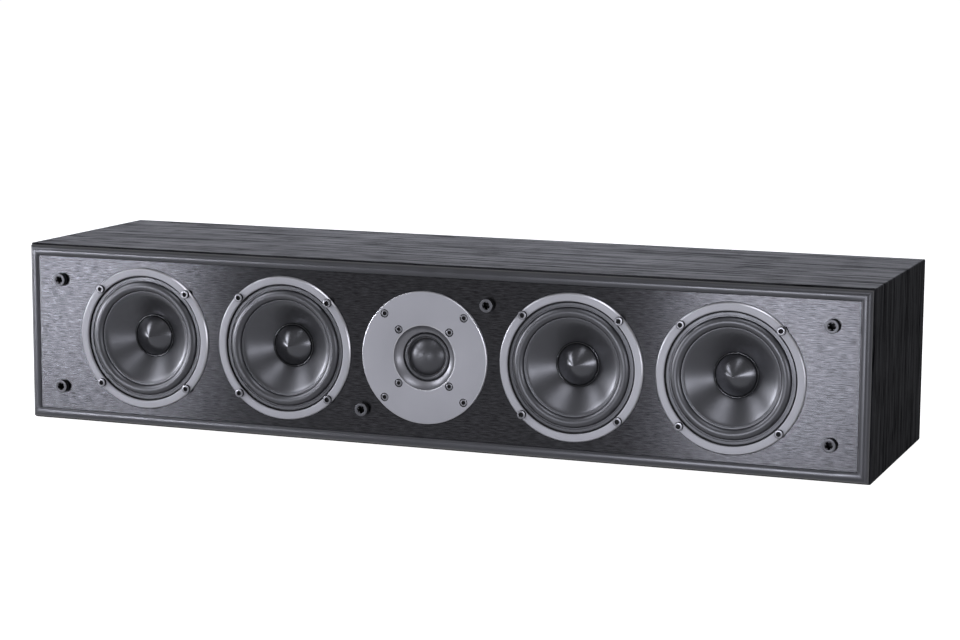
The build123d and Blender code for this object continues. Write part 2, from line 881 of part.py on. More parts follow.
# Connection cup: a moulded tray with a flange, holding two binding posts
flange_width = cup_width + 2 * cup_flange
flange_height = cup_height + 2 * cup_flange
post_places = [(-post_pitch / 2, axis_height), (post_pitch / 2, axis_height)]
with BuildPart() as terminal_cup:
    with BuildSketch(back_plane(rear_face_y)):
        with Locations((0, axis_height)):
            RectangleRounded(flange_width, flange_height, cup_round)
    extrude(amount=cup_flange_thickness)
    with BuildSketch(back_plane(rear_face_y)):
        with Locations((0, axis_height)):
            RectangleRounded(cup_width, cup_height, cup_round)
    extrude(amount=-cup_depth)
    with BuildSketch(back_plane(cup_floor_y)):
        with Locations((0, axis_height)):
            RectangleRounded(cup_width - 2 * cup_wall, cup_height - 2 * cup_wall, cup_round - cup_wall)
    extrude(amount=rear_face_y - cup_floor_y + cup_flange_thickness, mode=Mode.SUBTRACT)
    with BuildSketch(back_plane(cup_floor_y)):
        with Locations(*post_places):
            Circle(tail_radius + running_gap)
    extrude(amount=-cup_wall, mode=Mode.SUBTRACT)
    with BuildSketch(back_plane(rear_face_y)):
        with Locations((0, axis_height)):
            with GridLocations(flange_width - 2 * cup_screw_inset, flange_height - 2 * cup_screw_inset, 2, 2):
                Circle(cup_screw_radius + shank_gap)
    extrude(amount=cup_flange_thickness, mode=Mode.SUBTRACT)
keep(terminal_cup, "terminal_cup")

with BuildPart() as terminal_cup_screws:
    with BuildSketch(back_plane(rear_face_y + cup_flange_thickness)):
        with Locations((0, axis_height)):
            with GridLocations(flange_width - 2 * cup_screw_inset, flange_height - 2 * cup_screw_inset, 2, 2):
                Circle(cup_screw_head_radius)
    extrude(amount=cup_screw_head_height)
    with BuildSketch(back_plane(rear_face_y + cup_flange_thickness)):
        with Locations((0, axis_height)):
            with GridLocations(flange_width - 2 * cup_screw_inset, flange_height - 2 * cup_screw_inset, 2, 2):
                Circle(cup_screw_radius)
    extrude(amount=-(cup_flange_thickness + cup_screw_bite))
keep(terminal_cup_screws, "terminal_cup_screws")

# Binding posts: collared studs, bored for a plug
binding_posts = turned_group(post_places, [
    (0, -tail_length),
    (tail_radius, -tail_length),
    (tail_radius, 0),
    (post_collar_radius, 0),
    (post_collar_radius, post_collar_height),
    (stud_radius, post_collar_height),
    (stud_radius, stud_length),
    (plug_hole_radius, stud_length),
    (plug_hole_radius, stud_length - plug_hole_depth),
    (0, stud_length - plug_hole_depth),
], base_y=cup_floor_y)
keep(binding_posts, "binding_posts")

# Clamp washers and fluted caps that screw along the studs
washer_front = post_collar_height + rest_gap
cap_front = washer_front + washer_thickness + rest_gap
for place, colour in zip(post_places, ("black", "red")):
    clamp_washer = turned(place[0], [
        (stud_radius + running_gap, washer_front),
        (washer_radius, washer_front),
        (washer_radius, washer_front + washer_thickness),
        (stud_radius + running_gap, washer_front + washer_thickness),
    ], base_y=cup_floor_y)
    keep(clamp_washer, f"clamp_washer_{colour}")
    with BuildPart() as post_cap:
        with BuildSketch(back_plane(cup_floor_y + cap_front)):
            with Locations((-place[0], axis_height)):
                Circle(cap_knob_radius)
                Circle(stud_radius + running_gap, mode=Mode.SUBTRACT)
                with PolarLocations(cap_knob_radius, cap_flute_count):
                    Circle(cap_flute_radius, mode=Mode.SUBTRACT)
        extrude(amount=cap_knob_length)
    keep(post_cap, f"post_cap_{colour}")

# Crossover board on standoffs behind the left woofers, with coils and capacitors
with BuildPart() as crossover_board:
    with BuildSketch(front_plane(0, board_back_y)):
        with Locations((board_x, axis_height)):
            Rectangle(board_width, board_height)
    extrude(amount=board_thickness)
    with BuildSketch(front_plane(0, board_back_y)):
        with Locations((board_x, axis_height)):
            with GridLocations(board_width - 2 * standoff_inset, board_height - 2 * standoff_inset, 2, 2):
                Circle(standoff_radius)
    extrude(amount=-standoff_height)
keep(crossover_board, "crossover_board")

with BuildPart() as crossover_coils:
    with BuildSketch(front_plane(0, board_front_y)):
        with Locations((board_x, axis_height + coil_rise)):
            with GridLocations(coil_spacing, 1, 2, 1):
                Circle(coil_radius)
                Circle(coil_hole_radius, mode=Mode.SUBTRACT)
    extrude(amount=coil_height)
keep(crossover_coils, "crossover_coils")

with BuildPart() as crossover_capacitors:
    with BuildSketch(front_plane(0, board_front_y)):
        with Locations((board_x, axis_height - capacitor_drop)):
            with GridLocations(capacitor_spacing, 1, capacitor_count, 1):
                Circle(capacitor_radius)
    extrude(amount=capacitor_height)
keep(crossover_capacitors, "crossover_capacitors")

# Damping wadding on the cabinet floor, between each end and the nearest motor
wadding_outer = inner_width / 2 - rest_gap
wadding_inner = outer_woofer_offset + magnet_radius + wadding_motor_gap
wadding_thickness = wadding_outer - wadding_inner
wadding_height = inner_height - wadding_headroom
with BuildPart() as damping_wadding:
    with BuildSketch(Plane.XY.offset(cabinet_wall + rest_gap)):
        with GridLocations(wadding_outer + wadding_inner, 1, 2, 1):
            Rectangle(wadding_thickness, wadding_depth)
    extrude(amount=wadding_height)
keep(damping_wadding, "damping_wadding")
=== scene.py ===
# %% [markdown]
# # A centre channel speaker
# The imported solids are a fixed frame: they say where each piece sits and what moves with what. Here the
# pieces that show get finer meshes and every surface gets its finish. Blender measures in metres, but the
# outlines below are written in millimetres, as on a drawing.

# %% Load the frame
import math

import bmesh
import bpy
from mathutils import Matrix, Vector


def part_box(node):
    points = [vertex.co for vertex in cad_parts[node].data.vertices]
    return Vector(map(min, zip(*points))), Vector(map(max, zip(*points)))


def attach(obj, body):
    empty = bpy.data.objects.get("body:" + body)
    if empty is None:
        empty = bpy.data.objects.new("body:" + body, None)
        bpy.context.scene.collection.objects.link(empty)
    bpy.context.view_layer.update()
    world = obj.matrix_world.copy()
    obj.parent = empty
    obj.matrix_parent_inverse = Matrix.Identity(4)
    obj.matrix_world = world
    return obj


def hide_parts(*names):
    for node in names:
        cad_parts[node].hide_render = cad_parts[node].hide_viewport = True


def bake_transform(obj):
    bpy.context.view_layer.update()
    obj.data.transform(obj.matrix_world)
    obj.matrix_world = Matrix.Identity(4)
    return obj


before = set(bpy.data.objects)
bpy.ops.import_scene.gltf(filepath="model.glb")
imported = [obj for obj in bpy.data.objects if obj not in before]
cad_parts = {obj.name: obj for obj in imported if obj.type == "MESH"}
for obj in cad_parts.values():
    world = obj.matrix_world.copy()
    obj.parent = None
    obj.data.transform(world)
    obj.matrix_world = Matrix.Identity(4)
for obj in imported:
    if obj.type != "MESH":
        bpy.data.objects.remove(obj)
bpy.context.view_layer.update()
print("solids are in", len(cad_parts), "nodes")

# %% [markdown]
# ## Places to build from
# The front board carries all the drivers, so the finer pieces start from its face and its middle line. The
# places could be typed in again, but a value read from the frame can't drift away from it.

# %% Measure the front
MM = 0.001
baffle_low, baffle_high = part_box("front_baffle")
face_y = baffle_low.y
axis_z = (baffle_low.z + baffle_high.z) / 2


def middle(node):
    low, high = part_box(node)
    return (low + high) / 2


woofer_x = [middle(f"woofer_{number}_cone").x for number in (1, 2, 3, 4)]
print("front face at", round(face_y, 4), "woofers at", [round(x, 4) for x in woofer_x])

# %% [markdown]
# ## Outlines
# Rings, cones, caps and screws are round about an axis that runs from front to back. On a lathe each would
# be cut to one outline. Cylinders and cones from the Add menu have only straight sides and sharp corners, so
# the outlines are drawn as points of radius and depth. Real corners are never quite sharp: an outline can be
# eased, and the small rounds then catch the light.

# %% Ease and bend an outline
FULL_TURN = math.tau


def eased(outline, radius, steps=3):
    """The closed outline with each corner rounded by about that radius."""
    longest_share = 0.45
    rounded = []
    count = len(outline)
    for index, corner in enumerate(outline):
        here = Vector(corner)
        before = Vector(outline[index - 1]) - here
        after = Vector(outline[(index + 1) % count]) - here
        reach = min(radius, longest_share * before.length, longest_share * after.length)
        start = here + before.normalized() * reach
        end = here + after.normalized() * reach
        for step in range(steps + 1):
            t = step / steps
            point = start * (1 - t) ** 2 + here * (2 * t * (1 - t)) + end * t**2
            rounded.append((point.x, point.y))
    return rounded


def arc(start, end, rise, steps):
    """Points after start up to end, on an arc that stands rise to the left of the straight line."""
    a, b = Vector(start), Vector(end)
    half = (b - a) / 2
    side = Vector((-half.y, half.x)).normalized()
    radius = (half.length_squared + rise * rise) / (2 * abs(rise))
    centre = (a + b) / 2 + side * (rise - math.copysign(radius, rise))
    first = math.atan2(a.y - centre.y, a.x - centre.x)
    last = math.atan2(b.y - centre.y, b.x - centre.x)
    sweep = (last - first + math.pi) % FULL_TURN - math.pi
    points = []
    for step in range(1, steps + 1):
        angle = first + sweep * step / steps
        points.append((centre.x + radius * math.cos(angle), centre.y + radius * math.sin(angle)))
    return points


print("an eased square has", len(eased([(0, 0), (1, 0), (1, 1), (0, 1)], 0.2)), "points")

# %% [markdown]
# ## The lathe
# An outline becomes a piece by spinning it in a bmesh, Blender's workbench for geometry. The Screw modifier
# could do it too, but a bmesh takes several spins into one mesh, as the grille sockets need. Points that meet
# are welded, faces turn outwards, and curved faces shade smoothly while sharper folds stay crisp.

# %% Spin an outline into a piece
SHARP = math.radians(32)
WELD = 1e-7


def mesh_piece(name, bm, place, finish):
    """Turns a bmesh into an object at a place, smooth where it is curved and sharp where it is not."""
    bmesh.ops.remove_doubles(bm, verts=bm.verts, dist=WELD)
    bmesh.ops.recalc_face_normals(bm, faces=bm.faces)
    mesh = bpy.data.meshes.new(name)
    bm.to_mesh(mesh)
    bm.free()
    mesh.polygons.foreach_set("use_smooth", [True] * len(mesh.polygons))
    mesh.set_sharp_from_angle(angle=SHARP)
    piece = bpy.data.objects.new(name, mesh)
    piece.location = place
    bpy.context.collection.objects.link(piece)
    mesh.materials.append(finish)
    return piece


def spin_into(bm, outline, closed=True, steps=128, centre=(0, 0)):
    """Sweeps an outline of (radius, depth) points about a front-to-back axis into the bmesh."""
    corners = [bm.verts.new(((centre[0] + r) * MM, d * MM, centre[1] * MM)) for r, d in outline]
    ends = corners[1:] + corners[:1] if closed else corners[1:]
    sides = [bm.edges.new(pair) for pair in zip(corners, ends)]
    bmesh.ops.spin(
        bm,
        geom=corners + sides,
        cent=(centre[0] * MM, 0, centre[1] * MM),
        axis=(0, 1, 0),
        angle=FULL_TURN,
        steps=steps,
        use_merge=True,
    )


def spun(name, outline, place, finish, closed=True, steps=128):
    """A turned piece whose axis runs through place."""
    bm = bmesh.new()
    spin_into(bm, outline, closed, steps)
    return mesh_piece(name, bm, place, finish)


def finish_faces(piece, finish, chosen):
    """Gives one more finish to the faces that pass a test of their radius and depth in millimetres."""
    piece.data.materials.append(finish)
    for face in piece.data.polygons:
        if chosen(math.hypot(face.center.x, face.center.z) / MM, face.center.y / MM):
            face.material_index = len(piece.data.materials) - 1


print("folds sharper than", round(math.degrees(SHARP)), "degrees stay crisp")

# %% [markdown]
# ## Shared surface effects
# Wood foil, brushing, paint and plastic share a few effects. Each could be built again in every material,
# but a node group with named sockets is built once and then placed with its own values. These helpers make
# a group, add and wire its nodes, and turn a range of values into greys.

# %% Helpers for node trees


def new_group(name, values, outputs):
    """A node group that takes a vector and named values, and puts out named values."""
    tree = bpy.data.node_groups.new(name, "ShaderNodeTree")
    tree.interface.new_socket("Vector", in_out="INPUT", socket_type="NodeSocketVector")
    for label, value in values.items():
        socket = tree.interface.new_socket(label, in_out="INPUT", socket_type="NodeSocketFloat")
        socket.default_value = value
    for label in outputs:
        tree.interface.new_socket(label, in_out="OUTPUT", socket_type="NodeSocketFloat")
    return tree, tree.nodes.new("NodeGroupInput"), tree.nodes.new("NodeGroupOutput")


def set_inputs(node, values):
    for label, value in values.items():
        node.inputs[label].default_value = value


def add_node(tree, kind, **values):
    """A node with attributes set by name, or input values where the name is an input's."""
    made = tree.nodes.new(kind)
    for key, value in values.items():
        if hasattr(made, key):
            setattr(made, key, value)
        else:
            made.inputs[key].default_value = value
    return made


def wire(tree, source, target):
    """Wires a node's output into a socket, or sets a plain value on the socket."""
    if isinstance(source, bpy.types.NodeSocket):
        tree.links.new(source, target)
    else:
        target.default_value = source


def combine(tree, first, second, operation):
    """One value from two, by a product, a sum or another operation. Either may be a plain number."""
    made = add_node(tree, "ShaderNodeMath", operation=operation)
    wire(tree, first, made.inputs[0])
    wire(tree, second, made.inputs[1])
    return made.outputs[0]


def ramp(tree, *stops):
    """A colour ramp between two (position, grey) stops."""
    made = tree.nodes.new("ShaderNodeValToRGB")
    for point, (position, grey) in zip(made.color_ramp.elements, stops):
        point.position = position
        point.color = (grey, grey, grey, 1)
    return made


print("node helpers ready")

# %% [markdown]
# ## Long grain
# Long grain is the streaky figure of wood foil and of brushing. A photograph of wood would show its edges and
# repeat, so noise is stretched instead: the first coordinate runs along the grain and the second across it.
# One noise gives soft streaks, a finer one cuts out short, dark pores.

# %% Group for long grain
grain_sizes = {"Along": 8.0, "Across": 400.0}
grain_tree, grain_in, grain_out = new_group("long_grain", grain_sizes, ("Streaks", "Pores"))
split = add_node(grain_tree, "ShaderNodeSeparateXYZ")
wire(grain_tree, grain_in.outputs["Vector"], split.inputs[0])
stretched = add_node(grain_tree, "ShaderNodeCombineXYZ")
for axis, label in (("X", "Along"), ("Y", "Across")):
    scaled = combine(grain_tree, split.outputs[axis], grain_in.outputs[label], "MULTIPLY")
    wire(grain_tree, scaled, stretched.inputs[axis])
soft = {"Scale": 1.0, "Detail": 5.0, "Roughness": 0.62, "Distortion": 0.25}
fine = {"Scale": 2.3, "Detail": 3.0, "Roughness": 0.5, "Distortion": 0.1}
for label, noise, stops in (
    ("Streaks", soft, ((0.30, 0.0), (0.70, 1.0))),
    ("Pores", fine, ((0.36, 1.0), (0.45, 0.0))),
):
    texture = add_node(grain_tree, "ShaderNodeTexNoise", **noise)
    wire(grain_tree, stretched.outputs[0], texture.inputs["Vector"])
    shades = ramp(grain_tree, *stops)
    wire(grain_tree, texture.outputs[0], shades.inputs[0])
    wire(grain_tree, shades.outputs[0], grain_out.inputs[label])
print("group", grain_tree.name, "has", len(grain_tree.nodes), "nodes")

# %% [markdown]
# ## Speckle and mottle
# Speckle is the fine bump of sprayed paint and moulded plastic. Mottle is the slow, uneven shine and tone
# that every real surface has, spread over a range that each finish sets. Modelled dimples would cost too
# many faces, so both are noise.

# %% Groups for speckle and mottle
speckle_tree, speckle_in, speckle_out = new_group("speckle", {"Scale": 2500.0}, ("Height",))
texture = add_node(speckle_tree, "ShaderNodeTexNoise", Detail=2.0, Roughness=0.6)
wire(speckle_tree, speckle_in.outputs["Vector"], texture.inputs["Vector"])
wire(speckle_tree, speckle_in.outputs["Scale"], texture.inputs["Scale"])
wire(speckle_tree, texture.outputs[0], speckle_out.inputs["Height"])

mottle_tree, mottle_in, mottle_out = new_group("mottle", {"Scale": 40.0, "Low": 0.3, "High": 0.4}, ("Value",))
texture = add_node(mottle_tree, "ShaderNodeTexNoise", Detail=3.0, Roughness=0.55)
wire(mottle_tree, mottle_in.outputs["Vector"], texture.inputs["Vector"])
wire(mottle_tree, mottle_in.outputs["Scale"], texture.inputs["Scale"])
spread_out = add_node(mottle_tree, "ShaderNodeMapRange", **{"From Min": 0.3, "From Max": 0.7})
wire(mottle_tree, texture.outputs[0], spread_out.inputs["Value"])
wire(mottle_tree, mottle_in.outputs["Low"], spread_out.inputs["To Min"])
wire(mottle_tree, mottle_in.outputs["High"], spread_out.inputs["To Max"])
wire(mottle_tree, spread_out.outputs[0], mottle_out.inputs["Value"])
print("groups:", [tree.name for tree in bpy.data.node_groups])

# %% [markdown]
# ## A satin finish
# Most pieces are one colour with a fine texture: paint, moulded plastic, rubber, plated steel. Each could
# have its own node tree, but they differ only in colour, shine, share of metal and size of texture, so one
# recipe makes them all. The highlights are tinted a little cool, as in the photograph.

# %% One recipe for satin finishes
COOL = (0.90, 0.91, 1.0, 1.0)


def start_material(name):
    made = bpy.data.materials.new(name)
    made.use_nodes = True
    tree = made.node_tree
    where = tree.nodes.new("ShaderNodeTexCoord")
    return made, tree, tree.nodes["Principled BSDF"], where.outputs["Object"]


def use_group(tree, group, vector, **values):
    made = tree.nodes.new("ShaderNodeGroup")
    made.node_tree = group
    wire(tree, vector, made.inputs["Vector"])
    set_inputs(made, values)
    return made


def bump_from(tree, height, shader, strength, distance):
    bump = add_node(tree, "ShaderNodeBump", Strength=strength, Distance=distance)
    wire(tree, height, bump.inputs["Height"])
    wire(tree, bump.outputs[0], shader.inputs["Normal"])


def mix_colours(tree, factor, first, second):
    """Blends two colours by a factor. Either may be a plain colour or another node's output."""
    mix = add_node(tree, "ShaderNodeMix", data_type="RGBA")
    for index, value in ((6, first), (7, second)):
        if isinstance(value, bpy.types.NodeSocket):
            wire(tree, value, mix.inputs[index])
        else:
            mix.inputs[index].default_value = (*value, 1)
    wire(tree, factor, mix.inputs[0])
    return mix.outputs[2]


def satin(name, colour, rough, metal=0.0, grain=2500, bump=0.15, shine=0.5, tint=0.12):
    """A one-colour finish with fine bump, uneven shine and a slight drift of tone."""
    uneven = 0.12
    made, tree, shader, here = start_material(name)
    set_inputs(shader, {"Metallic": metal, "Specular IOR Level": shine})
    if metal < 0.5:
        shader.inputs["Specular Tint"].default_value = COOL
    speckle = use_group(tree, speckle_tree, here, Scale=grain)
    bump_from(tree, speckle.outputs["Height"], shader, bump, 0.2 * MM)
    low, high = rough * (1 - uneven), rough * (1 + uneven)
    gloss = use_group(tree, mottle_tree, here, Scale=60, Low=low, High=high)
    wire(tree, gloss.outputs["Value"], shader.inputs["Roughness"])
    drift = use_group(tree, mottle_tree, here, Scale=25, Low=0.0, High=1.0)
    darker = [channel * (1 - tint) for channel in colour]
    lighter = [min(1.0, channel * (1 + tint)) for channel in colour]
    wire(tree, mix_colours(tree, drift.outputs["Value"], darker, lighter), shader.inputs["Base Color"])
    return made


frame_finish = satin("frame_satin", (0.016, 0.016, 0.018), 0.315, grain=1800, bump=0.05, shine=0.58)
print("first satin finish:", frame_finish.name)

# %% [markdown]
# ## Satin finishes in front
# Silver lacquer, rubber, black plastic and plated steel, with colours as the photograph shows them in plain
# light. The near-black finish and the horn's darker silver are painted shade. A render's denoiser treats what
# is smoother than about 0.27 as a mirror, and a shine that drifts across that value shows as spots, so each
# finish here keeps to one side of it.

# %% Finishes of the drivers
ring_finish = satin(
    "silver_ring", (0.258, 0.258, 0.280), 0.45, grain=3000, bump=0.10, shine=0.21, tint=0.05
)
plate_finish = satin(
    "tweeter_plate", (0.248, 0.248, 0.270), 0.50, grain=3500, bump=0.06, shine=0.14, tint=0.03
)
edge_finish = satin("bright_edge", (0.28, 0.28, 0.30), 0.32, metal=1.0, grain=3000, bump=0.04, tint=0.03)
# The horn's wall: the plate's silver with more metal, and a darker colour that is painted shade in the
# recess.
horn_painted_shade_finish = satin(
    "tweeter_horn_painted_shade", (0.138, 0.138, 0.152), 0.36, metal=0.7, grain=3500, bump=0.05, tint=0.03
)
screw_finish = satin("plated_screw", (0.125, 0.125, 0.137), 0.32, metal=0.9, grain=1500, bump=0.06)
rubber_finish = satin("rubber_roll", (0.007, 0.007, 0.008), 0.38, grain=4000, bump=0.05, shine=0.74)
cap_finish = satin("dust_cap", (0.007, 0.007, 0.008), 0.24, grain=5000, bump=0.03, shine=0.85)
bead_finish = satin("glue_bead", (0.004, 0.004, 0.004), 0.12, grain=300, bump=0.1, shine=0.35)
# A near-black finish that paints shade into holes, seats, bores and sideways walls.
painted_shade_finish = satin("painted_shade_black", (0.004, 0.004, 0.004), 0.6, shine=0.14)
socket_finish = satin("socket_plastic", (0.042, 0.042, 0.046), 0.36, grain=3000, bump=0.1, shine=0.49)
print("satin finishes so far:", len(bpy.data.materials))

# %% [markdown]
# ## Satin finishes behind and inside
# The back is a painted board with moulded plastic and gilt terminals. Inside are raw fibre board, steel,
# ferrite, copper wire, cloth and wadding. They are never in the picture, but whoever opens the model finds
# each piece in its own material.

# %% Finishes of the back and the inside
plastic_finish = satin("black_moulding", (0.014, 0.014, 0.015), 0.38, grain=1400, bump=0.3, shine=0.5)
board_finish = satin("black_board", (0.016, 0.016, 0.017), 0.55, grain=900, bump=0.5, shine=0.33)
gilt_finish = satin("gilt_metal", (0.78, 0.55, 0.22), 0.2, metal=1.0, grain=900, bump=0.05)
red_finish = satin("red_cap", (0.42, 0.018, 0.018), 0.24, grain=900, bump=0.06)
black_finish = satin("black_cap", (0.018, 0.018, 0.018), 0.24, grain=900, bump=0.06)
raw_finish = satin("raw_fibre_board", (0.38, 0.28, 0.18), 0.8, grain=700, bump=0.4)
steel_finish = satin("zinc_steel", (0.52, 0.52, 0.50), 0.35, metal=1.0, grain=700)
ferrite_finish = satin("ferrite", (0.05, 0.05, 0.052), 0.7, grain=900, bump=0.4)
coat_finish = satin("black_coat", (0.010, 0.010, 0.010), 0.6, grain=900, bump=0.4, shine=0.2)
copper_finish = satin("copper_wire", (0.60, 0.27, 0.12), 0.3, metal=1.0, grain=2500, bump=0.5)
cloth_finish = satin("spider_cloth", (0.62, 0.48, 0.20), 0.85, grain=1500, bump=0.6)
circuit_finish = satin("circuit_board", (0.05, 0.16, 0.07), 0.3, grain=500)
film_finish = satin("film_capacitor", (0.50, 0.36, 0.06), 0.25, grain=300)
wadding_finish = satin("wadding", (0.72, 0.72, 0.70), 0.95, grain=350, bump=1.0)
print("satin finishes made:", len(bpy.data.materials))

# %% [markdown]
# ## Wood foil
# The sleeve is wrapped in black ash foil. Its grain runs along the top and, because the board is folded, on
# down the ends. A separate material for each side would break the figure at the edges, so the direction along
# the grain is x + z: x on the top and z on the ends. The streaks between the pores carry a thin lacquer and
# the pores are dull, so the grain also masks the shader's coat. The cut edges at the back have no foil: there
# the surface faces backwards, and the mask gives plain black paint.

# %% Black ash foil


def part_along(tree, vector, weights):
    """How far a vector goes along a direction that is given by weights of x, y and z."""
    made = add_node(tree, "ShaderNodeVectorMath", operation="DOT_PRODUCT")
    wire(tree, vector, made.inputs[0])
    wire(tree, weights, made.inputs[1])
    return made.outputs["Value"]


def grain_direction(tree, here, along, across):
    """A vector whose x runs along the grain and y across it."""
    vector = tree.nodes.new("ShaderNodeCombineXYZ")
    wire(tree, part_along(tree, here, along), vector.inputs["X"])
    wire(tree, part_along(tree, here, across), vector.inputs["Y"])
    return vector.outputs[0]


ash_finish, tree, shader, here = start_material("black_ash")
direction = grain_direction(tree, here, (1, 0, 1), (0, 1, 0))
broad = use_group(tree, grain_tree, direction, Along=5, Across=130)
narrow = use_group(tree, grain_tree, direction, Along=12, Across=330)
figure = combine(tree, broad.outputs["Streaks"], narrow.outputs["Streaks"], "ADD")
lacquer = add_node(tree, "ShaderNodeMapRange", **{"From Min": 0.1, "From Max": 1.7})
wire(tree, combine(tree, figure, narrow.outputs["Pores"], "SUBTRACT"), lacquer.inputs["Value"])
facing = tree.nodes.new("ShaderNodeNewGeometry").outputs["True Normal"]
wrapped = combine(tree, part_along(tree, facing, (0, 1, 0)), 0.5, "LESS_THAN")
foil = combine(tree, lacquer.outputs[0], wrapped, "MULTIPLY")
figured = mix_colours(tree, lacquer.outputs[0], (0.0035, 0.0035, 0.004), (0.030, 0.030, 0.033))
wood = mix_colours(tree, wrapped, (0.014, 0.014, 0.015), figured)
wire(tree, wood, shader.inputs["Base Color"])
wire(tree, foil, shader.inputs["Coat Weight"])
set_inputs(shader, {"Coat IOR": 1.016, "Coat Roughness": 0.28})
set_inputs(shader, {"Specular IOR Level": 0.0, "Roughness": 0.7})
bump_from(tree, foil, shader, 0.5, 0.3 * MM)
print("wood foil:", ash_finish.name, "with", len(tree.nodes), "nodes")

# %% [markdown]
# ## Brushed front
# The front wears a dark foil, brushed lengthwise with very fine scratches. Scratches as geometry would be far
# too small. They spread light up and down more than sideways, which is what the shader's anisotropy does, so
# each lamp shows as an upright band that fades quickly. Long grain gives the strokes that can be seen.

# %% Brushed front foil
front_finish, tree, shader, here = start_material("brushed_front")
direction = grain_direction(tree, here, (1, 0, 0), (0, 0.3, 1))
scratches = use_group(tree, grain_tree, direction, Along=130, Across=1300)
drift = use_group(tree, mottle_tree, here, Scale=900, Low=0.0, High=1.0)
dark = mix_colours(tree, drift.outputs["Value"], (0.0095, 0.0095, 0.0107), (0.0125, 0.0125, 0.0140))
brushed = mix_colours(tree, scratches.outputs["Streaks"], dark, (0.057, 0.057, 0.063))
wire(tree, brushed, shader.inputs["Base Color"])
set_inputs(shader, {"Metallic": 1.0, "Roughness": 0.256, "Anisotropic": 0.96})
tangent = add_node(tree, "ShaderNodeTangent", direction_type="RADIAL", axis="X")
wire(tree, tangent.outputs[0], shader.inputs["Tangent"])
bump_from(tree, scratches.outputs["Streaks"], shader, 0.05, 0.2 * MM)
print("front foil:", front_finish.name, "with", len(tree.nodes), "nodes")

# %% [markdown]
# ## Cone finish
# The cones are moulded from black plastic with very fine rings from the tool. Modelled rings would need
# thousands of faces. A wave of the distance from the axis gives them as bump, and because each cone's mesh
# sits at its own axis, one material serves all four. The tweeter's coated cloth gets a closer wave.

# %% Finish with fine rings


def ringed(name, colour, rough, pitch, bump, shine):
    """A one-colour finish with rings about the piece's own axis, fine bump and uneven shine."""
    uneven, ring_share = 0.10, 0.35
    made, tree, shader, here = start_material(name)
    set_inputs(shader, {"Base Color": (*colour, 1), "Specular IOR Level": shine, "Specular Tint": COOL})
    flat = add_node(tree, "ShaderNodeVectorMath", operation="MULTIPLY")
    wire(tree, here, flat.inputs[0])
    wire(tree, (1, 0, 1), flat.inputs[1])
    radius = add_node(tree, "ShaderNodeVectorMath", operation="LENGTH")
    wire(tree, flat.outputs[0], radius.inputs[0])
    wave = add_node(tree, "ShaderNodeMath", operation="SINE")
    wire(tree, combine(tree, radius.outputs["Value"], FULL_TURN / pitch, "MULTIPLY"), wave.inputs[0])
    speckle = use_group(tree, speckle_tree, here, Scale=3500)
    total = add_node(tree, "ShaderNodeMath", operation="MULTIPLY_ADD")
    wire(tree, wave.outputs[0], total.inputs[0])
    wire(tree, ring_share, total.inputs[1])
    wire(tree, speckle.outputs["Height"], total.inputs[2])
    bump_from(tree, total.outputs[0], shader, bump, 0.1 * MM)
    low, high = rough * (1 - uneven), rough * (1 + uneven)
    gloss = use_group(tree, mottle_tree, here, Scale=45, Low=low, High=high)
    wire(tree, gloss.outputs["Value"], shader.inputs["Roughness"])
    return made


cone_finish = ringed("woofer_cone", (0.007, 0.007, 0.008), 0.34, pitch=0.8 * MM, bump=0.04, shine=0.77)
dome_finish = ringed("tweeter_dome", (0.007, 0.007, 0.008), 0.38, pitch=0.6 * MM, bump=0.08, shine=0.70)
print("ringed finishes:", cone_finish.name, dome_finish.name)

# %% [markdown]
# ## Finishes for the solids that stay
# The cabinet boards, and what sits inside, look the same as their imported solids, so they aren't modelled
# again. A solid's mesh is never changed, but its material slots can take the finishes from above.

# %% Dress the solids
dressed = {
    "cabinet_sleeve": ash_finish,
    "front_baffle": front_finish,
    "rear_panel": board_finish,
    "brace_left": raw_finish,
    "brace_right": raw_finish,
    "woofer_top_plates": steel_finish,
    "woofer_yokes": steel_finish,
    "woofer_magnets": ferrite_finish,
    "tweeter_top_plate": steel_finish,
    "tweeter_yoke": steel_finish,
    "tweeter_magnet": ferrite_finish,
    "tweeter_voice_coil": copper_finish,
    "terminal_cup": plastic_finish,
    "binding_posts": gilt_finish,
    "clamp_washer_black": gilt_finish,
    "clamp_washer_red": gilt_finish,
    "crossover_board": circuit_finish,
    "crossover_coils": copper_finish,
    "crossover_capacitors": film_finish,
    "damping_wadding": wadding_finish,
}
for number in (1, 2, 3, 4):
    dressed[f"woofer_{number}_basket"] = coat_finish
    dressed[f"woofer_{number}_voice_coil"] = copper_finish
    dressed[f"woofer_{number}_spider"] = cloth_finish
for node, finish in dressed.items():
    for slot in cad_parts[node].material_slots:
        slot.material = finish
print("solids dressed:", len(dressed))

# %% [markdown]
# ## Front frame
# The frame is one moulding with mitred corners. Its section is a low crown: a quarter round falls to the
# outside and a flatter curve to the baffle. A curve object with a bevel profile would round the corners, so
# each point of the section gets its own rectangle of points, and faces join each rectangle to the next. The
# rails are cut into short stretches, because very long, thin faces shade badly.

# %% Section of the front frame
frame_low, frame_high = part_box("front_frame")
frame_width = 9.0
frame_depth = (frame_high.y - frame_low.y) / MM
frame_crest = 5.2


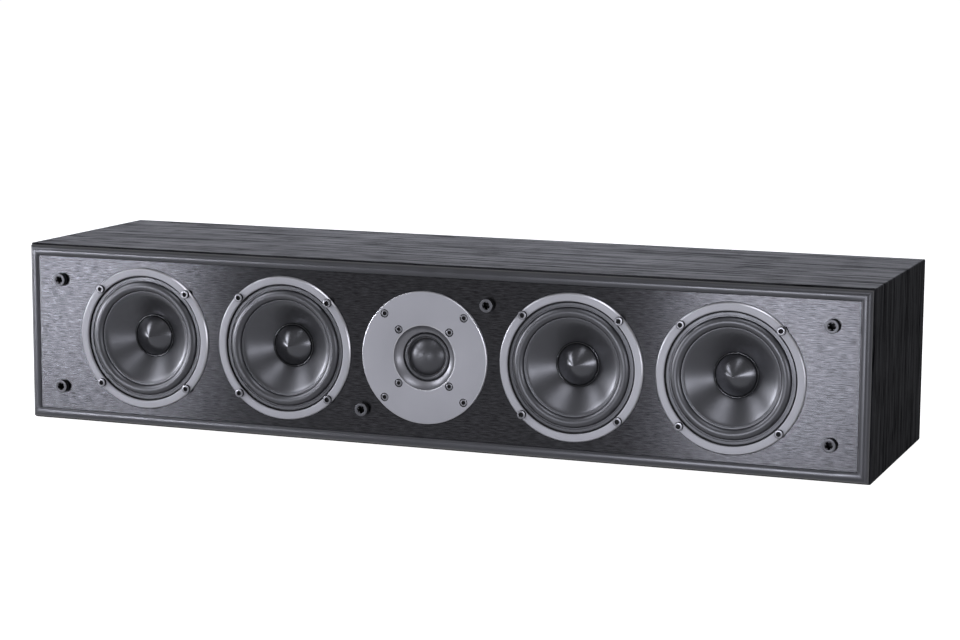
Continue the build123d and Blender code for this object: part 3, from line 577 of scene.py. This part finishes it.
def frame_section():
    """(in from the outside, behind the frame's face) points, from the seam round to the baffle."""
    seam_in, seam_depth, side_in = 1.7, 0.6, 0.9
    outer_fall, inner_fall, inner_foot = 4.6, 1.5, 0.3
    outer_steps, inner_steps = 12, 8
    inner_turn = 76
    points = [
        (seam_in, frame_depth),
        (seam_in, frame_depth - seam_depth),
        (side_in, frame_depth - seam_depth - 0.1),
    ]
    for step in range(outer_steps + 1):
        angle = math.radians(90 * step / outer_steps)
        across = (frame_crest - side_in) * (1 - math.cos(angle))
        points.append((side_in + across, outer_fall * (1 - math.sin(angle))))
    for step in range(1, inner_steps + 1):
        angle = math.radians(inner_turn * step / inner_steps)
        across = (frame_width - frame_crest) * math.sin(angle)
        points.append((frame_crest + across, inner_fall * (1 - math.cos(angle))))
    return points + [(frame_width, inner_fall + inner_foot), (frame_width, frame_depth)]


print("frame section has", len(frame_section()), "points")

# %% [markdown]
# ## Frame from its section
# Going once round the box at each point of the section gives a loop, and two neighbouring loops are bridged
# with faces. The last loop joins the first, so the moulding is closed.

# %% Build the front frame
bm = bmesh.new()
stretches = 32
loops = []
for inset, depth in frame_section():
    left, right = frame_low.x + inset * MM, frame_high.x - inset * MM
    low, high = frame_low.z + inset * MM, frame_high.z - inset * MM
    y = frame_low.y + depth * MM
    corners = [Vector(p) for p in ((left, y, low), (right, y, low), (right, y, high), (left, y, high))]
    loop = []
    for start, end in zip(corners, corners[1:] + corners[:1]):
        loop += [bm.verts.new(start.lerp(end, step / stretches)) for step in range(stretches)]
    loops.append(loop)


def bridge(bm, here, there):
    """Joins two loops of as many points with faces, and returns the faces."""
    count = len(here)
    return [
        bm.faces.new((here[spot], here[(spot + 1) % count], there[(spot + 1) % count], there[spot]))
        for spot in range(count)
    ]


for here, there in zip(loops, loops[1:] + loops[:1]):
    bridge(bm, here, there)
front_frame = mesh_piece("front_frame_moulding", bm, (0, 0, 0), frame_finish)
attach(front_frame, "enclosure")
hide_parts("front_frame")
print("frame faces:", len(front_frame.data.polygons))

# %% [markdown]
# ## Woofer outlines
# Each woofer is a silver trim ring, a rubber surround, a cone and a pointed dust cap set in a bead of glue.
# All follow the solids' outlines, with eased edges. The cone is a bowl that runs straight to the cap's seat
# but is dished a little near its rim, so a formula draws it. The surround is a half roll between two lips. It
# bends when the cone moves, so it is drawn as two halves that meet at the crest of the roll.

# %% Outlines of the ring and the surround
ring_inside, ring_outside, ring_front, ring_bevel = 51.0, 57.4, -2.0, 1.0
ring_corners = [
    (ring_inside, 0.0),
    (ring_outside, 0.0),
    (ring_outside, ring_front + ring_bevel),
    (ring_outside - ring_bevel, ring_front),
    (ring_inside + 0.6, ring_front),
    (ring_inside, ring_front + 0.5),
]
ring_outline = eased(ring_corners, 0.25)
bright_outside, bright_before = 56.45, -0.9
seat, lip_front, groove = 1.4, 0.4, 1.05
roll_outer, roll_inner, roll_height = 46.5, 38.1, 3.4
crest = ((roll_outer + roll_inner) / 2, groove - roll_height)


def split_roll(inner, outer, top_radius):
    """Points of a half roll, parted at its crest into the side near the axis and the side away from it."""
    slack = 1e-6
    near = [inner] + [point for point in outer if point[0] <= top_radius + slack]
    far = [point for point in outer if point[0] >= top_radius - slack]
    return near, far


roll = arc((roll_inner, groove), (roll_outer, groove), -roll_height, 32)
inner_roll, outer_roll = split_roll((roll_inner, groove), roll, crest[0])
outer_lip = [(47.3, groove), (47.4, lip_front + 0.15), (47.6, lip_front), (49.5, lip_front)]
outer_half = outer_roll + outer_lip + [(49.8, lip_front + 0.3), (49.9, seat)]
inner_half = inner_roll[::-1] + [(37.6, groove), (37.2, 1.12), (36.9, 1.25), (36.7, seat)]
print("roll crest at", [round(value, 2) for value in crest])

# %% [markdown]
# ## Bowl, cap and bead
# The bowl's points crowd towards the rim, where it curves most. The cap is a shallow cone whose sides swell
# slightly, and the bead is a thin ring of glue that was run into the corner between them.

# %% Outlines of the cone, the cap and the bead
rim_radius, cap_seat_radius, cap_seat = 36.6, 16.6, 17.4
bowl_steps, crowding, cone_wall = 30, 1.6, 1.1
dish_depth, dish_start = 0.75, 0.07
bowl = [(38.0, seat)]
for step in range(bowl_steps + 1):
    t = (step / bowl_steps) ** crowding
    dish = dish_depth * (1 - t) * (1 - math.exp(-t / dish_start))
    bowl.append((rim_radius + (cap_seat_radius - rim_radius) * t, seat + (cap_seat - seat) * t - dish))
bowl.append((12.8, 20.4))
cone_outline = bowl + [(r, d + cone_wall) for r, d in reversed(bowl)]
cap_foot, cap_point = (15.8, 16.2), (0.35, 6.5)
cap_outline = [(16.0, 17.4), (16.0, 16.6), cap_foot] + arc(cap_foot, cap_point, 0.55, 20) + [(0.0, 6.4)]
bead_radius, bead_depth, bead_thick, bead_sides = 16.9, 16.75, 0.75, 12
bead_outline = []
for side in range(bead_sides):
    angle = FULL_TURN * side / bead_sides
    across, down = bead_thick * math.cos(angle), bead_thick * math.sin(angle)
    bead_outline.append((bead_radius + across, bead_depth + down))
print("cone points", len(cone_outline), "cap points", len(cap_outline))

# %% [markdown]
# ## Four woofers
# A loop spins the same outlines at each woofer's axis. The ring rides the box, and the bowl, the cap and the
# bead ride the cone's body. The two surround halves stay where they are spun and ride no body.

# %% Build the four woofers
for number, x in enumerate(woofer_x, start=1):
    place = (x, face_y, axis_z)
    moving = f"woofer_{number}_diaphragm"
    trim = spun(f"woofer_{number}_ring", ring_outline, place, ring_finish, steps=180)
    finish_faces(trim, edge_finish, lambda radius, depth: radius > bright_outside and depth < bright_before)
    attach(trim, "enclosure")
    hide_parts(f"woofer_{number}_trim_ring")
    cone_piece = spun(f"woofer_{number}_bowl", cone_outline, place, cone_finish, steps=180)
    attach(cone_piece, moving)
    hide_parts(f"woofer_{number}_cone")
    cap = spun(f"woofer_{number}_cap", cap_outline, place, cap_finish, closed=False, steps=120)
    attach(cap, moving)
    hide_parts(f"woofer_{number}_dust_cap")
    bead = spun(f"woofer_{number}_glue", bead_outline, place, bead_finish, steps=120)
    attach(bead, moving)
    outer = spun(f"woofer_{number}_surround_outer", outer_half, place, rubber_finish, closed=False, steps=160)
    inner = spun(f"woofer_{number}_surround_inner", inner_half, place, rubber_finish, closed=False, steps=160)
    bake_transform(outer)
    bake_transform(inner)
    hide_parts(f"woofer_{number}_surround")
print("woofers built:", len(woofer_x))

# %% [markdown]
# ## Screws
# The drivers are held by socket-head screws. A head is a short drum with an eased rim and a six-sided hole. A
# Boolean could cut the hole, but rings of points are lighter: those outside are round, those of the hole
# follow a hexagon. The drum's side and the hole's walls and floor are painted near black, as painted shade.

# %% Socket-head screws


def hexagon_radius(flat, angle):
    """Distance from the middle to a hexagon's side at an angle."""
    sixth = FULL_TURN / 6
    return flat / math.cos((angle + sixth / 2) % sixth - sixth / 2)


def screw_heads(name, places, radius, height, key, facing=1):
    """Heads at (x, depth, z) places in mm from the tweeter's axis, each with its top at that depth. Facing
    is -1 for heads that look to the back."""
    bm = bmesh.new()
    steps, rim = 36, 0.35
    rings = [
        (radius, height, False), (radius, rim, False),
        (radius - rim * 0.3, rim * 0.3, False), (radius - rim, 0, False),
        (key + 0.25, 0.05, False),
        (key, 0.3, True),
        (key, height * 0.62, True),
        (key * 0.5, height * 0.66, True),
    ]
    # The drum's side and the hole's walls and floor get the near-black finish: painted shade.
    painted_shade_rows = (0, 4, 5, 6)
    for x, depth, z in places:
        loops = []
        for ring_radius, down, six in rings:
            y = (depth + facing * down) * MM
            loop = []
            for step in range(steps):
                angle = FULL_TURN * step / steps
                r = hexagon_radius(ring_radius, angle) if six else ring_radius
                loop.append(bm.verts.new(((x + r * math.cos(angle)) * MM, y, (z + r * math.sin(angle)) * MM)))
            loops.append(loop)
        for row, (here, there) in enumerate(zip(loops, loops[1:])):
            for face in bridge(bm, here, there):
                face.material_index = 1 if row in painted_shade_rows else 0
        bm.faces.new(loops[-1]).material_index = 1
    heads = mesh_piece(name, bm, (0, face_y, axis_z), screw_finish)
    heads.data.materials.append(painted_shade_finish)
    return heads


def on_circle(x, radius, depth):
    """Four places at the corners of a square, on a circle about an axis."""
    angles = [math.radians(angle) for angle in (45, 135, 225, 315)]
    return [(x + radius * math.cos(angle), depth, radius * math.sin(angle)) for angle in angles]


bolt_circle, head_top = 54.2, -4.4
woofer_places = [spot for x in woofer_x for spot in on_circle(x / MM, bolt_circle, head_top)]
heads = screw_heads("woofer_screw_heads", woofer_places, radius=3.4, height=2.4, key=1.7)
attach(heads, "enclosure")
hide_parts("woofer_screws")
print("woofer screws:", len(woofer_places))

# %% [markdown]
# ## Tweeter plate
# The faceplate is a silver disc with a short flared horn. Its screws sit in drilled seats. Drawing the seats
# into a mesh by hand would be laborious, so the disc is spun first and a Boolean modifier drills it, which
# is how the real plate gets them. The drill's near-black finish passes to the seats' walls and floors as
# painted shade. The horn's wall gets a darker, more metallic silver, its darkness painted shade, and the
# bright edges get their own finish.

# %% Tweeter plate with drilled seats
plate_front, plate_back, plate_radius = -1.8, 2.2, 52.0
hub_back, hub_radius = plate_front + 7.2, 36.0
horn_edge, horn_mouth, horn_throat, horn_depth = 25.8, 25.3, 19.6, 5.6
plate_ease, plate_bolts, motor_bolts = 0.7, 46.6, 29.8
plate_corners = [
    (hub_radius, hub_back),
    (hub_radius, plate_back),
    (plate_radius, plate_back),
    (plate_radius, plate_front),
    (horn_edge, plate_front),
]
horn_start = (horn_mouth, plate_front + 0.25)
horn_end = (horn_throat, plate_front + horn_depth)
plate_outline = eased(plate_corners, plate_ease)[:-1] + [horn_start]
plate_outline += arc(horn_start, horn_end, -0.6, 14) + [(horn_throat, hub_back)]
plate_screws = on_circle(0, plate_bolts, plate_front)
motor_screws = on_circle(0, motor_bolts, plate_front)
tweeter_place = (0, face_y, axis_z)
plate = spun("tweeter_plate_disc", plate_outline, tweeter_place, plate_finish, steps=200)
bm = bmesh.new()
seat_radius, seat_depth = 3.3, 2.0
for x, depth, z in plate_screws + motor_screws:
    top, bottom = depth - 1, depth + seat_depth
    rod = [(0, top), (seat_radius, top), (seat_radius, bottom), (0, bottom)]
    spin_into(bm, rod, closed=False, steps=40, centre=(x, z))
# The drill's near-black finish goes with the Boolean onto the seats' walls and floors: painted shade.
drill = mesh_piece("drill", bm, tweeter_place, painted_shade_finish)
cut = plate.modifiers.new("seats", "BOOLEAN")
cut.object = drill
cut.operation = "DIFFERENCE"
cut.solver = "EXACT"
cut.material_mode = "TRANSFER"
bpy.context.view_layer.update()
drilled = bpy.data.meshes.new_from_object(plate.evaluated_get(bpy.context.evaluated_depsgraph_get()))
plate.modifiers.clear()
plate.data = drilled
bpy.data.objects.remove(drill)
plate.data.set_sharp_from_angle(angle=SHARP)
# The horn's wall takes the darker silver, which is painted shade.
finish_faces(plate, horn_painted_shade_finish, lambda radius, depth: radius < horn_mouth)
rim_from, rim_behind, lip_to = plate_radius - 0.65, plate_front + plate_ease, horn_edge - 0.05
finish_faces(plate, edge_finish, lambda radius, depth: radius > rim_from and depth < rim_behind)
finish_faces(plate, edge_finish, lambda radius, depth: horn_mouth < radius < lip_to)
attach(plate, "enclosure")
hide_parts("tweeter_faceplate")
print("plate faces after drilling:", len(plate.data.polygons))

# %% [markdown]
# ## Tweeter screws and dome
# Eight heads sit in the drilled seats. The dome is coated cloth, pressed over a sphere, so its outline is
# part of a circle whose radius follows from the dome's width and height.

# %% Tweeter screws and dome
sunk = 0.15
for name, spots, radius, key, node in (
    ("tweeter_plate_heads", plate_screws, 2.75, 1.35, "tweeter_plate_screws"),
    ("tweeter_motor_heads", motor_screws, 2.6, 1.25, "tweeter_motor_screws"),
):
    tops = [(x, depth + sunk, z) for x, depth, z in spots]
    heads = screw_heads(name, tops, radius, height=1.8, key=key)
    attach(heads, "enclosure")
    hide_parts(node)
dome_radius, dome_height, dome_steps, dome_foot = 14.6, 5.8, 24, hub_back + 0.4
sphere = (dome_radius**2 + dome_height**2) / (2 * dome_height)
dome_outline = []
for step in range(dome_steps + 1):
    angle = math.asin(dome_radius / sphere) * step / dome_steps
    dome_outline.append((sphere * math.sin(angle), hub_back - dome_height + sphere * (1 - math.cos(angle))))
dome_outline += [(dome_radius, dome_foot), (dome_radius - 0.5, dome_foot)]
dome = spun("tweeter_dome_cap", dome_outline, tweeter_place, dome_finish, closed=False, steps=120)
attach(dome, "tweeter_diaphragm")
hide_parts("tweeter_dome")
print("dome sphere radius", round(sphere, 2))

# %% [markdown]
# ## Tweeter roll
# A small half roll lets the dome move. It bends like a woofer's surround, so it is made the same way, as two
# halves that meet at the crest and ride no body.

# %% Tweeter roll
small_inner, small_outer, small_height = 15.2, 19.0, 1.8
small_crest = (17.1, hub_back - small_height)
small_roll = arc((small_inner, hub_back), (small_outer, hub_back), -small_height, 24)
near_side, outside = split_roll((small_inner, hub_back), small_roll, small_crest[0])
inside = [(14.65, hub_back + 0.3), (14.8, hub_back)] + near_side
outside += [(19.6, hub_back + 0.1), (24.0, hub_back + 0.1), (24.0, hub_back + 0.5)]
for name, outline, near, far in (
    ("tweeter_roll_outer", outside, "enclosure", "tweeter_diaphragm"),
    ("tweeter_roll_inner", inside, "tweeter_diaphragm", "enclosure"),
):
    half = spun(name, outline, tweeter_place, rubber_finish, closed=False, steps=140)
    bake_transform(half)
    if near == "enclosure":
        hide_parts("tweeter_surround")
print("tweeter roll crest at", [round(value, 2) for value in small_crest])

# %% [markdown]
# ## Grille sockets
# Six ferrules take the pegs of the grille. Each is a ring whose hole is split by ribs, so that from the front
# the hole looks like a small star. Six separate objects would do, but they are one moulding's worth of the
# same plastic, so all are spun into one mesh. Walls that face sideways get a near-black finish as painted
# shade, and a near-black lining in each bore behind them is painted shade too.

# %% Grille sockets
socket_radius, socket_front, bore_radius, ribs = 5.25, -4.5, 3.0, 5
socket_low, socket_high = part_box("grille_sockets")
socket_x = (socket_high.x - socket_low.x) / 2 / MM - socket_radius
socket_z = (socket_high.z - socket_low.z) / 2 / MM - socket_radius
inner_x = 52
socket_spots = [(sx * socket_x, sz * socket_z) for sx in (-1, 1) for sz in (-1, 1)]
socket_spots += [(inner_x, socket_z), (-inner_x, -socket_z)]
socket_corners = [
    (socket_radius, 0.0),
    (socket_radius, socket_front),
    (bore_radius, socket_front),
    (bore_radius, 3.0),
    (4.2, 3.0),
    (4.2, 0.0),
]
socket_outline = eased(socket_corners, 0.45)
rib_size = Vector((0.9, 4.6, 0.8)) * MM
rib_radius, rib_depth = 2.7, -1.4
bm = bmesh.new()
for x, z in socket_spots:
    spin_into(bm, socket_outline, steps=48, centre=(x, z))
    for turn in range(ribs):
        angle = FULL_TURN * (turn + 0.25) / ribs
        spoke = Matrix.Translation((x * MM, rib_depth * MM, z * MM)) @ Matrix.Rotation(-angle, 4, "Y")
        rib = bmesh.ops.create_cube(bm, size=1.0)["verts"]
        bmesh.ops.scale(bm, vec=rib_size, verts=rib)
        bmesh.ops.translate(bm, vec=(rib_radius * MM, 0, 0), verts=rib)
        bmesh.ops.transform(bm, matrix=spoke, verts=rib)
sockets = mesh_piece("grille_socket_ferrules", bm, tweeter_place, socket_finish)
sockets.data.materials.append(painted_shade_finish)
# Faces that look sideways get the near-black finish: painted shade.
sideways = 0.4
for face in sockets.data.polygons:
    face.material_index = 1 if abs(face.normal.y) < sideways else 0
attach(sockets, "enclosure")
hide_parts("grille_sockets")
# A near-black lining in each bore: a sheet of painted shade.
bore_painted_shade_outline = [(2.95, -3.9), (2.95, 2.4), (0, 2.6)]
bm = bmesh.new()
for x, z in socket_spots:
    spin_into(bm, bore_painted_shade_outline, closed=False, steps=40, centre=(x, z))
bore_painted_shade = mesh_piece("grille_socket_bore_painted_shade", bm, tweeter_place, painted_shade_finish)
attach(bore_painted_shade, "enclosure")
print("sockets:", len(socket_spots))

# %% [markdown]
# ## Reflex port
# The port is a plastic tube with a flange and a flared mouth, so that air leaves it quietly. It is spun from
# one outline: the tube, the flange with an eased rim, and a quarter round into the bore.

# %% Reflex port
port_place = middle("reflex_port")
port_low, port_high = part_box("reflex_port")
length = (port_high.y - port_low.y) / MM
port_bore, port_tube, flange_radius, flange_thick = 24.0, 26.5, 34.0, 2.5
flare, flare_steps = 7.0, 10
port_outline = [
    (port_bore, 0.0),
    (port_tube, 0.0),
    (port_tube, length - flange_thick),
    (flange_radius, length - flange_thick),
    (flange_radius, length - 0.6),
    (flange_radius - 0.2, length - 0.2),
    (flange_radius - 0.7, length),
    (port_bore + flare, length),
]
for step in range(1, flare_steps + 1):
    angle = math.radians(90 * step / flare_steps)
    port_outline.append((port_bore + flare * (1 - math.sin(angle)), length - flare * (1 - math.cos(angle))))
port_start = (port_place.x, port_low.y, port_place.z)
port = spun("reflex_port_tube", port_outline, port_start, plastic_finish, steps=120)
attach(port, "enclosure")
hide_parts("reflex_port")
print("port length", round(length, 1), "mm")

# %% [markdown]
# ## Terminals
# The caps on the binding posts have flutes for the fingers, which run out at eased ends. A Boolean with eight
# rods would leave hard edges, so the radius of each ring of points dips softly where a flute lies. The
# terminal cup is held by four small socket heads, like those in front.

# %% Post caps and cup screws


def fluted_cap(name, node, finish):
    """A hollow grip as long as the node's solid, with soft flutes round it."""
    flutes, steps, dip = 8, 160, 0.9
    low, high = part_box(node)
    centre = middle(node)
    long = (high.y - low.y) / MM
    bore, face_radius, shoulder_radius, grip_radius = 3.05, 5.9, 6.3, 6.37
    rings = [
        (bore, 0.0, 0),
        (face_radius, 0.0, 0),
        (shoulder_radius, 0.4, 0.6),
        (grip_radius, 1.0, 1),
        (grip_radius, long - 1.0, 1),
        (shoulder_radius, long - 0.4, 0.6),
        (face_radius, long, 0),
        (bore, long, 0),
    ]
    bm = bmesh.new()
    loops = []
    for radius, depth, share in rings:
        loop = []
        for step in range(steps):
            angle = FULL_TURN * step / steps
            r = radius - dip * share * max(0.0, math.cos(angle * flutes)) ** 2
            loop.append(bm.verts.new((r * math.cos(angle) * MM, depth * MM, r * math.sin(angle) * MM)))
        loops.append(loop)
    for here, there in zip(loops, loops[1:] + loops[:1]):
        bridge(bm, here, there)
    return mesh_piece(name, bm, (centre.x, low.y, centre.z), finish)


for colour, finish in (("red", red_finish), ("black", black_finish)):
    cap = fluted_cap(f"{colour}_post_grip", f"post_cap_{colour}", finish)
    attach(cap, f"{colour}_cap")
    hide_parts(f"post_cap_{colour}")
cup_low, cup_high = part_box("terminal_cup_screws")
cup_head = 2.8
cup_depth = (cup_high.y - face_y) / MM
cup_places = [
    (x, cup_depth, z)
    for x in (cup_low.x / MM + cup_head, cup_high.x / MM - cup_head)
    for z in ((cup_low.z - axis_z) / MM + cup_head, (cup_high.z - axis_z) / MM - cup_head)
]
heads = screw_heads("terminal_cup_heads", cup_places, cup_head, height=1.6, key=1.2, facing=-1)
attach(heads, "enclosure")
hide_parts("terminal_cup_screws")
print("cup screws:", len(cup_places))

# %% [markdown]
# ## Camera
# The picture was taken from the right and a little above, with a long lens. The camera could be aimed by eye,
# but its place, its angles and the lens were found by fitting the corners of the box and the outlines of the
# round plates to the photograph. A picture that is 960 pixels wide gives the lens from its focal pixels.

# %% Camera
picture_width, focal_pixels, sensor_width = 960, 2492.8, 36.0
pan, tilt, roll_angle = (math.radians(angle) for angle in (20.8569, -8.6219, 0.3205))
camera = bpy.data.objects.new("camera", bpy.data.cameras.new("camera"))
bpy.context.collection.objects.link(camera)
camera.data.sensor_width = sensor_width
camera.data.lens = sensor_width * focal_pixels / picture_width
camera.data.clip_end = 200.0
stand = Matrix.Translation((0.71717, -1.85568, 0.39065))
aim = Matrix.Rotation(pan, 4, "Z") @ Matrix.Rotation(math.radians(90) + tilt, 4, "X")
camera.matrix_world = stand @ aim @ Matrix.Rotation(roll_angle, 4, "Z")
bpy.context.scene.camera = camera
print("lens", round(camera.data.lens, 2), "mm")

# %% [markdown]
# ## Floor and world
# The background is a large pale floor under a white world. Brighter lamps would whiten them too, but they
# would also bleach the speaker. So the Light Path node tells the rays apart: the camera sees full white,
# shiny surfaces see about half of that, and light that scatters gets only a little from the world and nothing
# from the floor's glow. The box still darkens the floor where it stands.

# %% Floor and world


def seen_level(tree, mirrored):
    """1 for the camera's rays, the mirrored level for rays off shiny surfaces, 0 for scattered light."""
    path = tree.nodes.new("ShaderNodeLightPath")
    share = combine(tree, path.outputs["Is Glossy Ray"], mirrored, "MULTIPLY")
    return combine(tree, path.outputs["Is Camera Ray"], share, "MAXIMUM")


floor_bm = bmesh.new()
bmesh.ops.create_grid(floor_bm, x_segments=1, y_segments=1, size=60.0)
floor_material, tree, shader, here = start_material("pale_floor")
set_inputs(shader, {"Base Color": (0.69, 0.69, 0.69, 1), "Emission Color": (1, 1, 1, 1)})
set_inputs(shader, {"Specular IOR Level": 0.0, "Roughness": 0.9})
floor_glow, floor_mirrored, world_mirrored = 0.94, 0.45, 0.50
glow = combine(tree, seen_level(tree, floor_mirrored), floor_glow, "MULTIPLY")
wire(tree, glow, shader.inputs["Emission Strength"])
just_below = -0.2 * MM
floor = mesh_piece("floor", floor_bm, (0, 0, just_below), floor_material)

world = bpy.data.worlds.new("studio")
bpy.context.scene.world = world
world.use_nodes = True
sky = world.node_tree.nodes["Background"]
sky.inputs["Color"].default_value = (1.0, 1.0, 1.0, 1)
strength = add_node(world.node_tree, "ShaderNodeMapRange", **{"To Min": 0.12, "To Max": 1.0})
wire(world.node_tree, seen_level(world.node_tree, world_mirrored), strength.inputs["Value"])
wire(world.node_tree, strength.outputs[0], sky.inputs["Strength"])
bpy.context.scene.view_settings.view_transform = "Standard"
print("floor", floor.name, "and world", world.name)

# %% [markdown]
# ## Lamps
# Two small strips in front put the bright bands on the ends of the brushed front. Boxes to the right, the
# left and above model the cones, and a wide card behind is what the lacquered top reflects. Sun lamps would
# give hard points of light on the round pieces, so all are soft panels, and a narrow spread keeps the strips'
# light off the floor.

# %% Lamps


def panel(name, place, aim, size, power, spread, colour=(0.94, 0.95, 1.0)):
    """A soft rectangular lamp that faces a point."""
    lamp = bpy.data.lights.new(name, "AREA")
    lamp.shape = "RECTANGLE"
    lamp.size, lamp.size_y = size
    lamp.energy = power
    lamp.color = colour
    lamp.spread = math.radians(spread)
    holder = bpy.data.objects.new(name, lamp)
    holder.location = place
    holder.rotation_mode = "QUATERNION"
    holder.rotation_quaternion = (Vector(aim) - Vector(place)).to_track_quat("-Z", "Y")
    bpy.context.collection.objects.link(holder)


narrow_beam, wide_beam = 36.0, 90.0
front_left, front_middle, front_right = (-0.25, -0.09, 0.07), (0.0, -0.09, 0.07), (0.25, -0.09, 0.07)
panel("left_strip", (-0.835, -1.035, 0.051), front_left, (0.26, 0.07), 0.238, narrow_beam)
panel("front_strip", (0.040, -1.110, 0.051), front_right, (0.22, 0.07), 0.205, narrow_beam)
panel("right_box", (1.80, -1.22, 0.20), front_middle, (1.0, 0.40), 3.6, wide_beam)
panel("left_box", (-2.25, -0.62, 0.26), front_middle, (0.7, 0.6), 9.8, wide_beam)
panel("left_high", (-1.45, -0.75, 1.10), front_middle, (0.7, 0.5), 3.7, wide_beam)
panel("top_box", (0.42, -0.62, 1.45), front_middle, (0.9, 0.5), 2.6, wide_beam)
panel("back_card", (-0.9, 2.6, 0.65), (0.0, 0.0, 0.1), (4.0, 1.0), 20.0, wide_beam, (0.86, 0.88, 1.0))
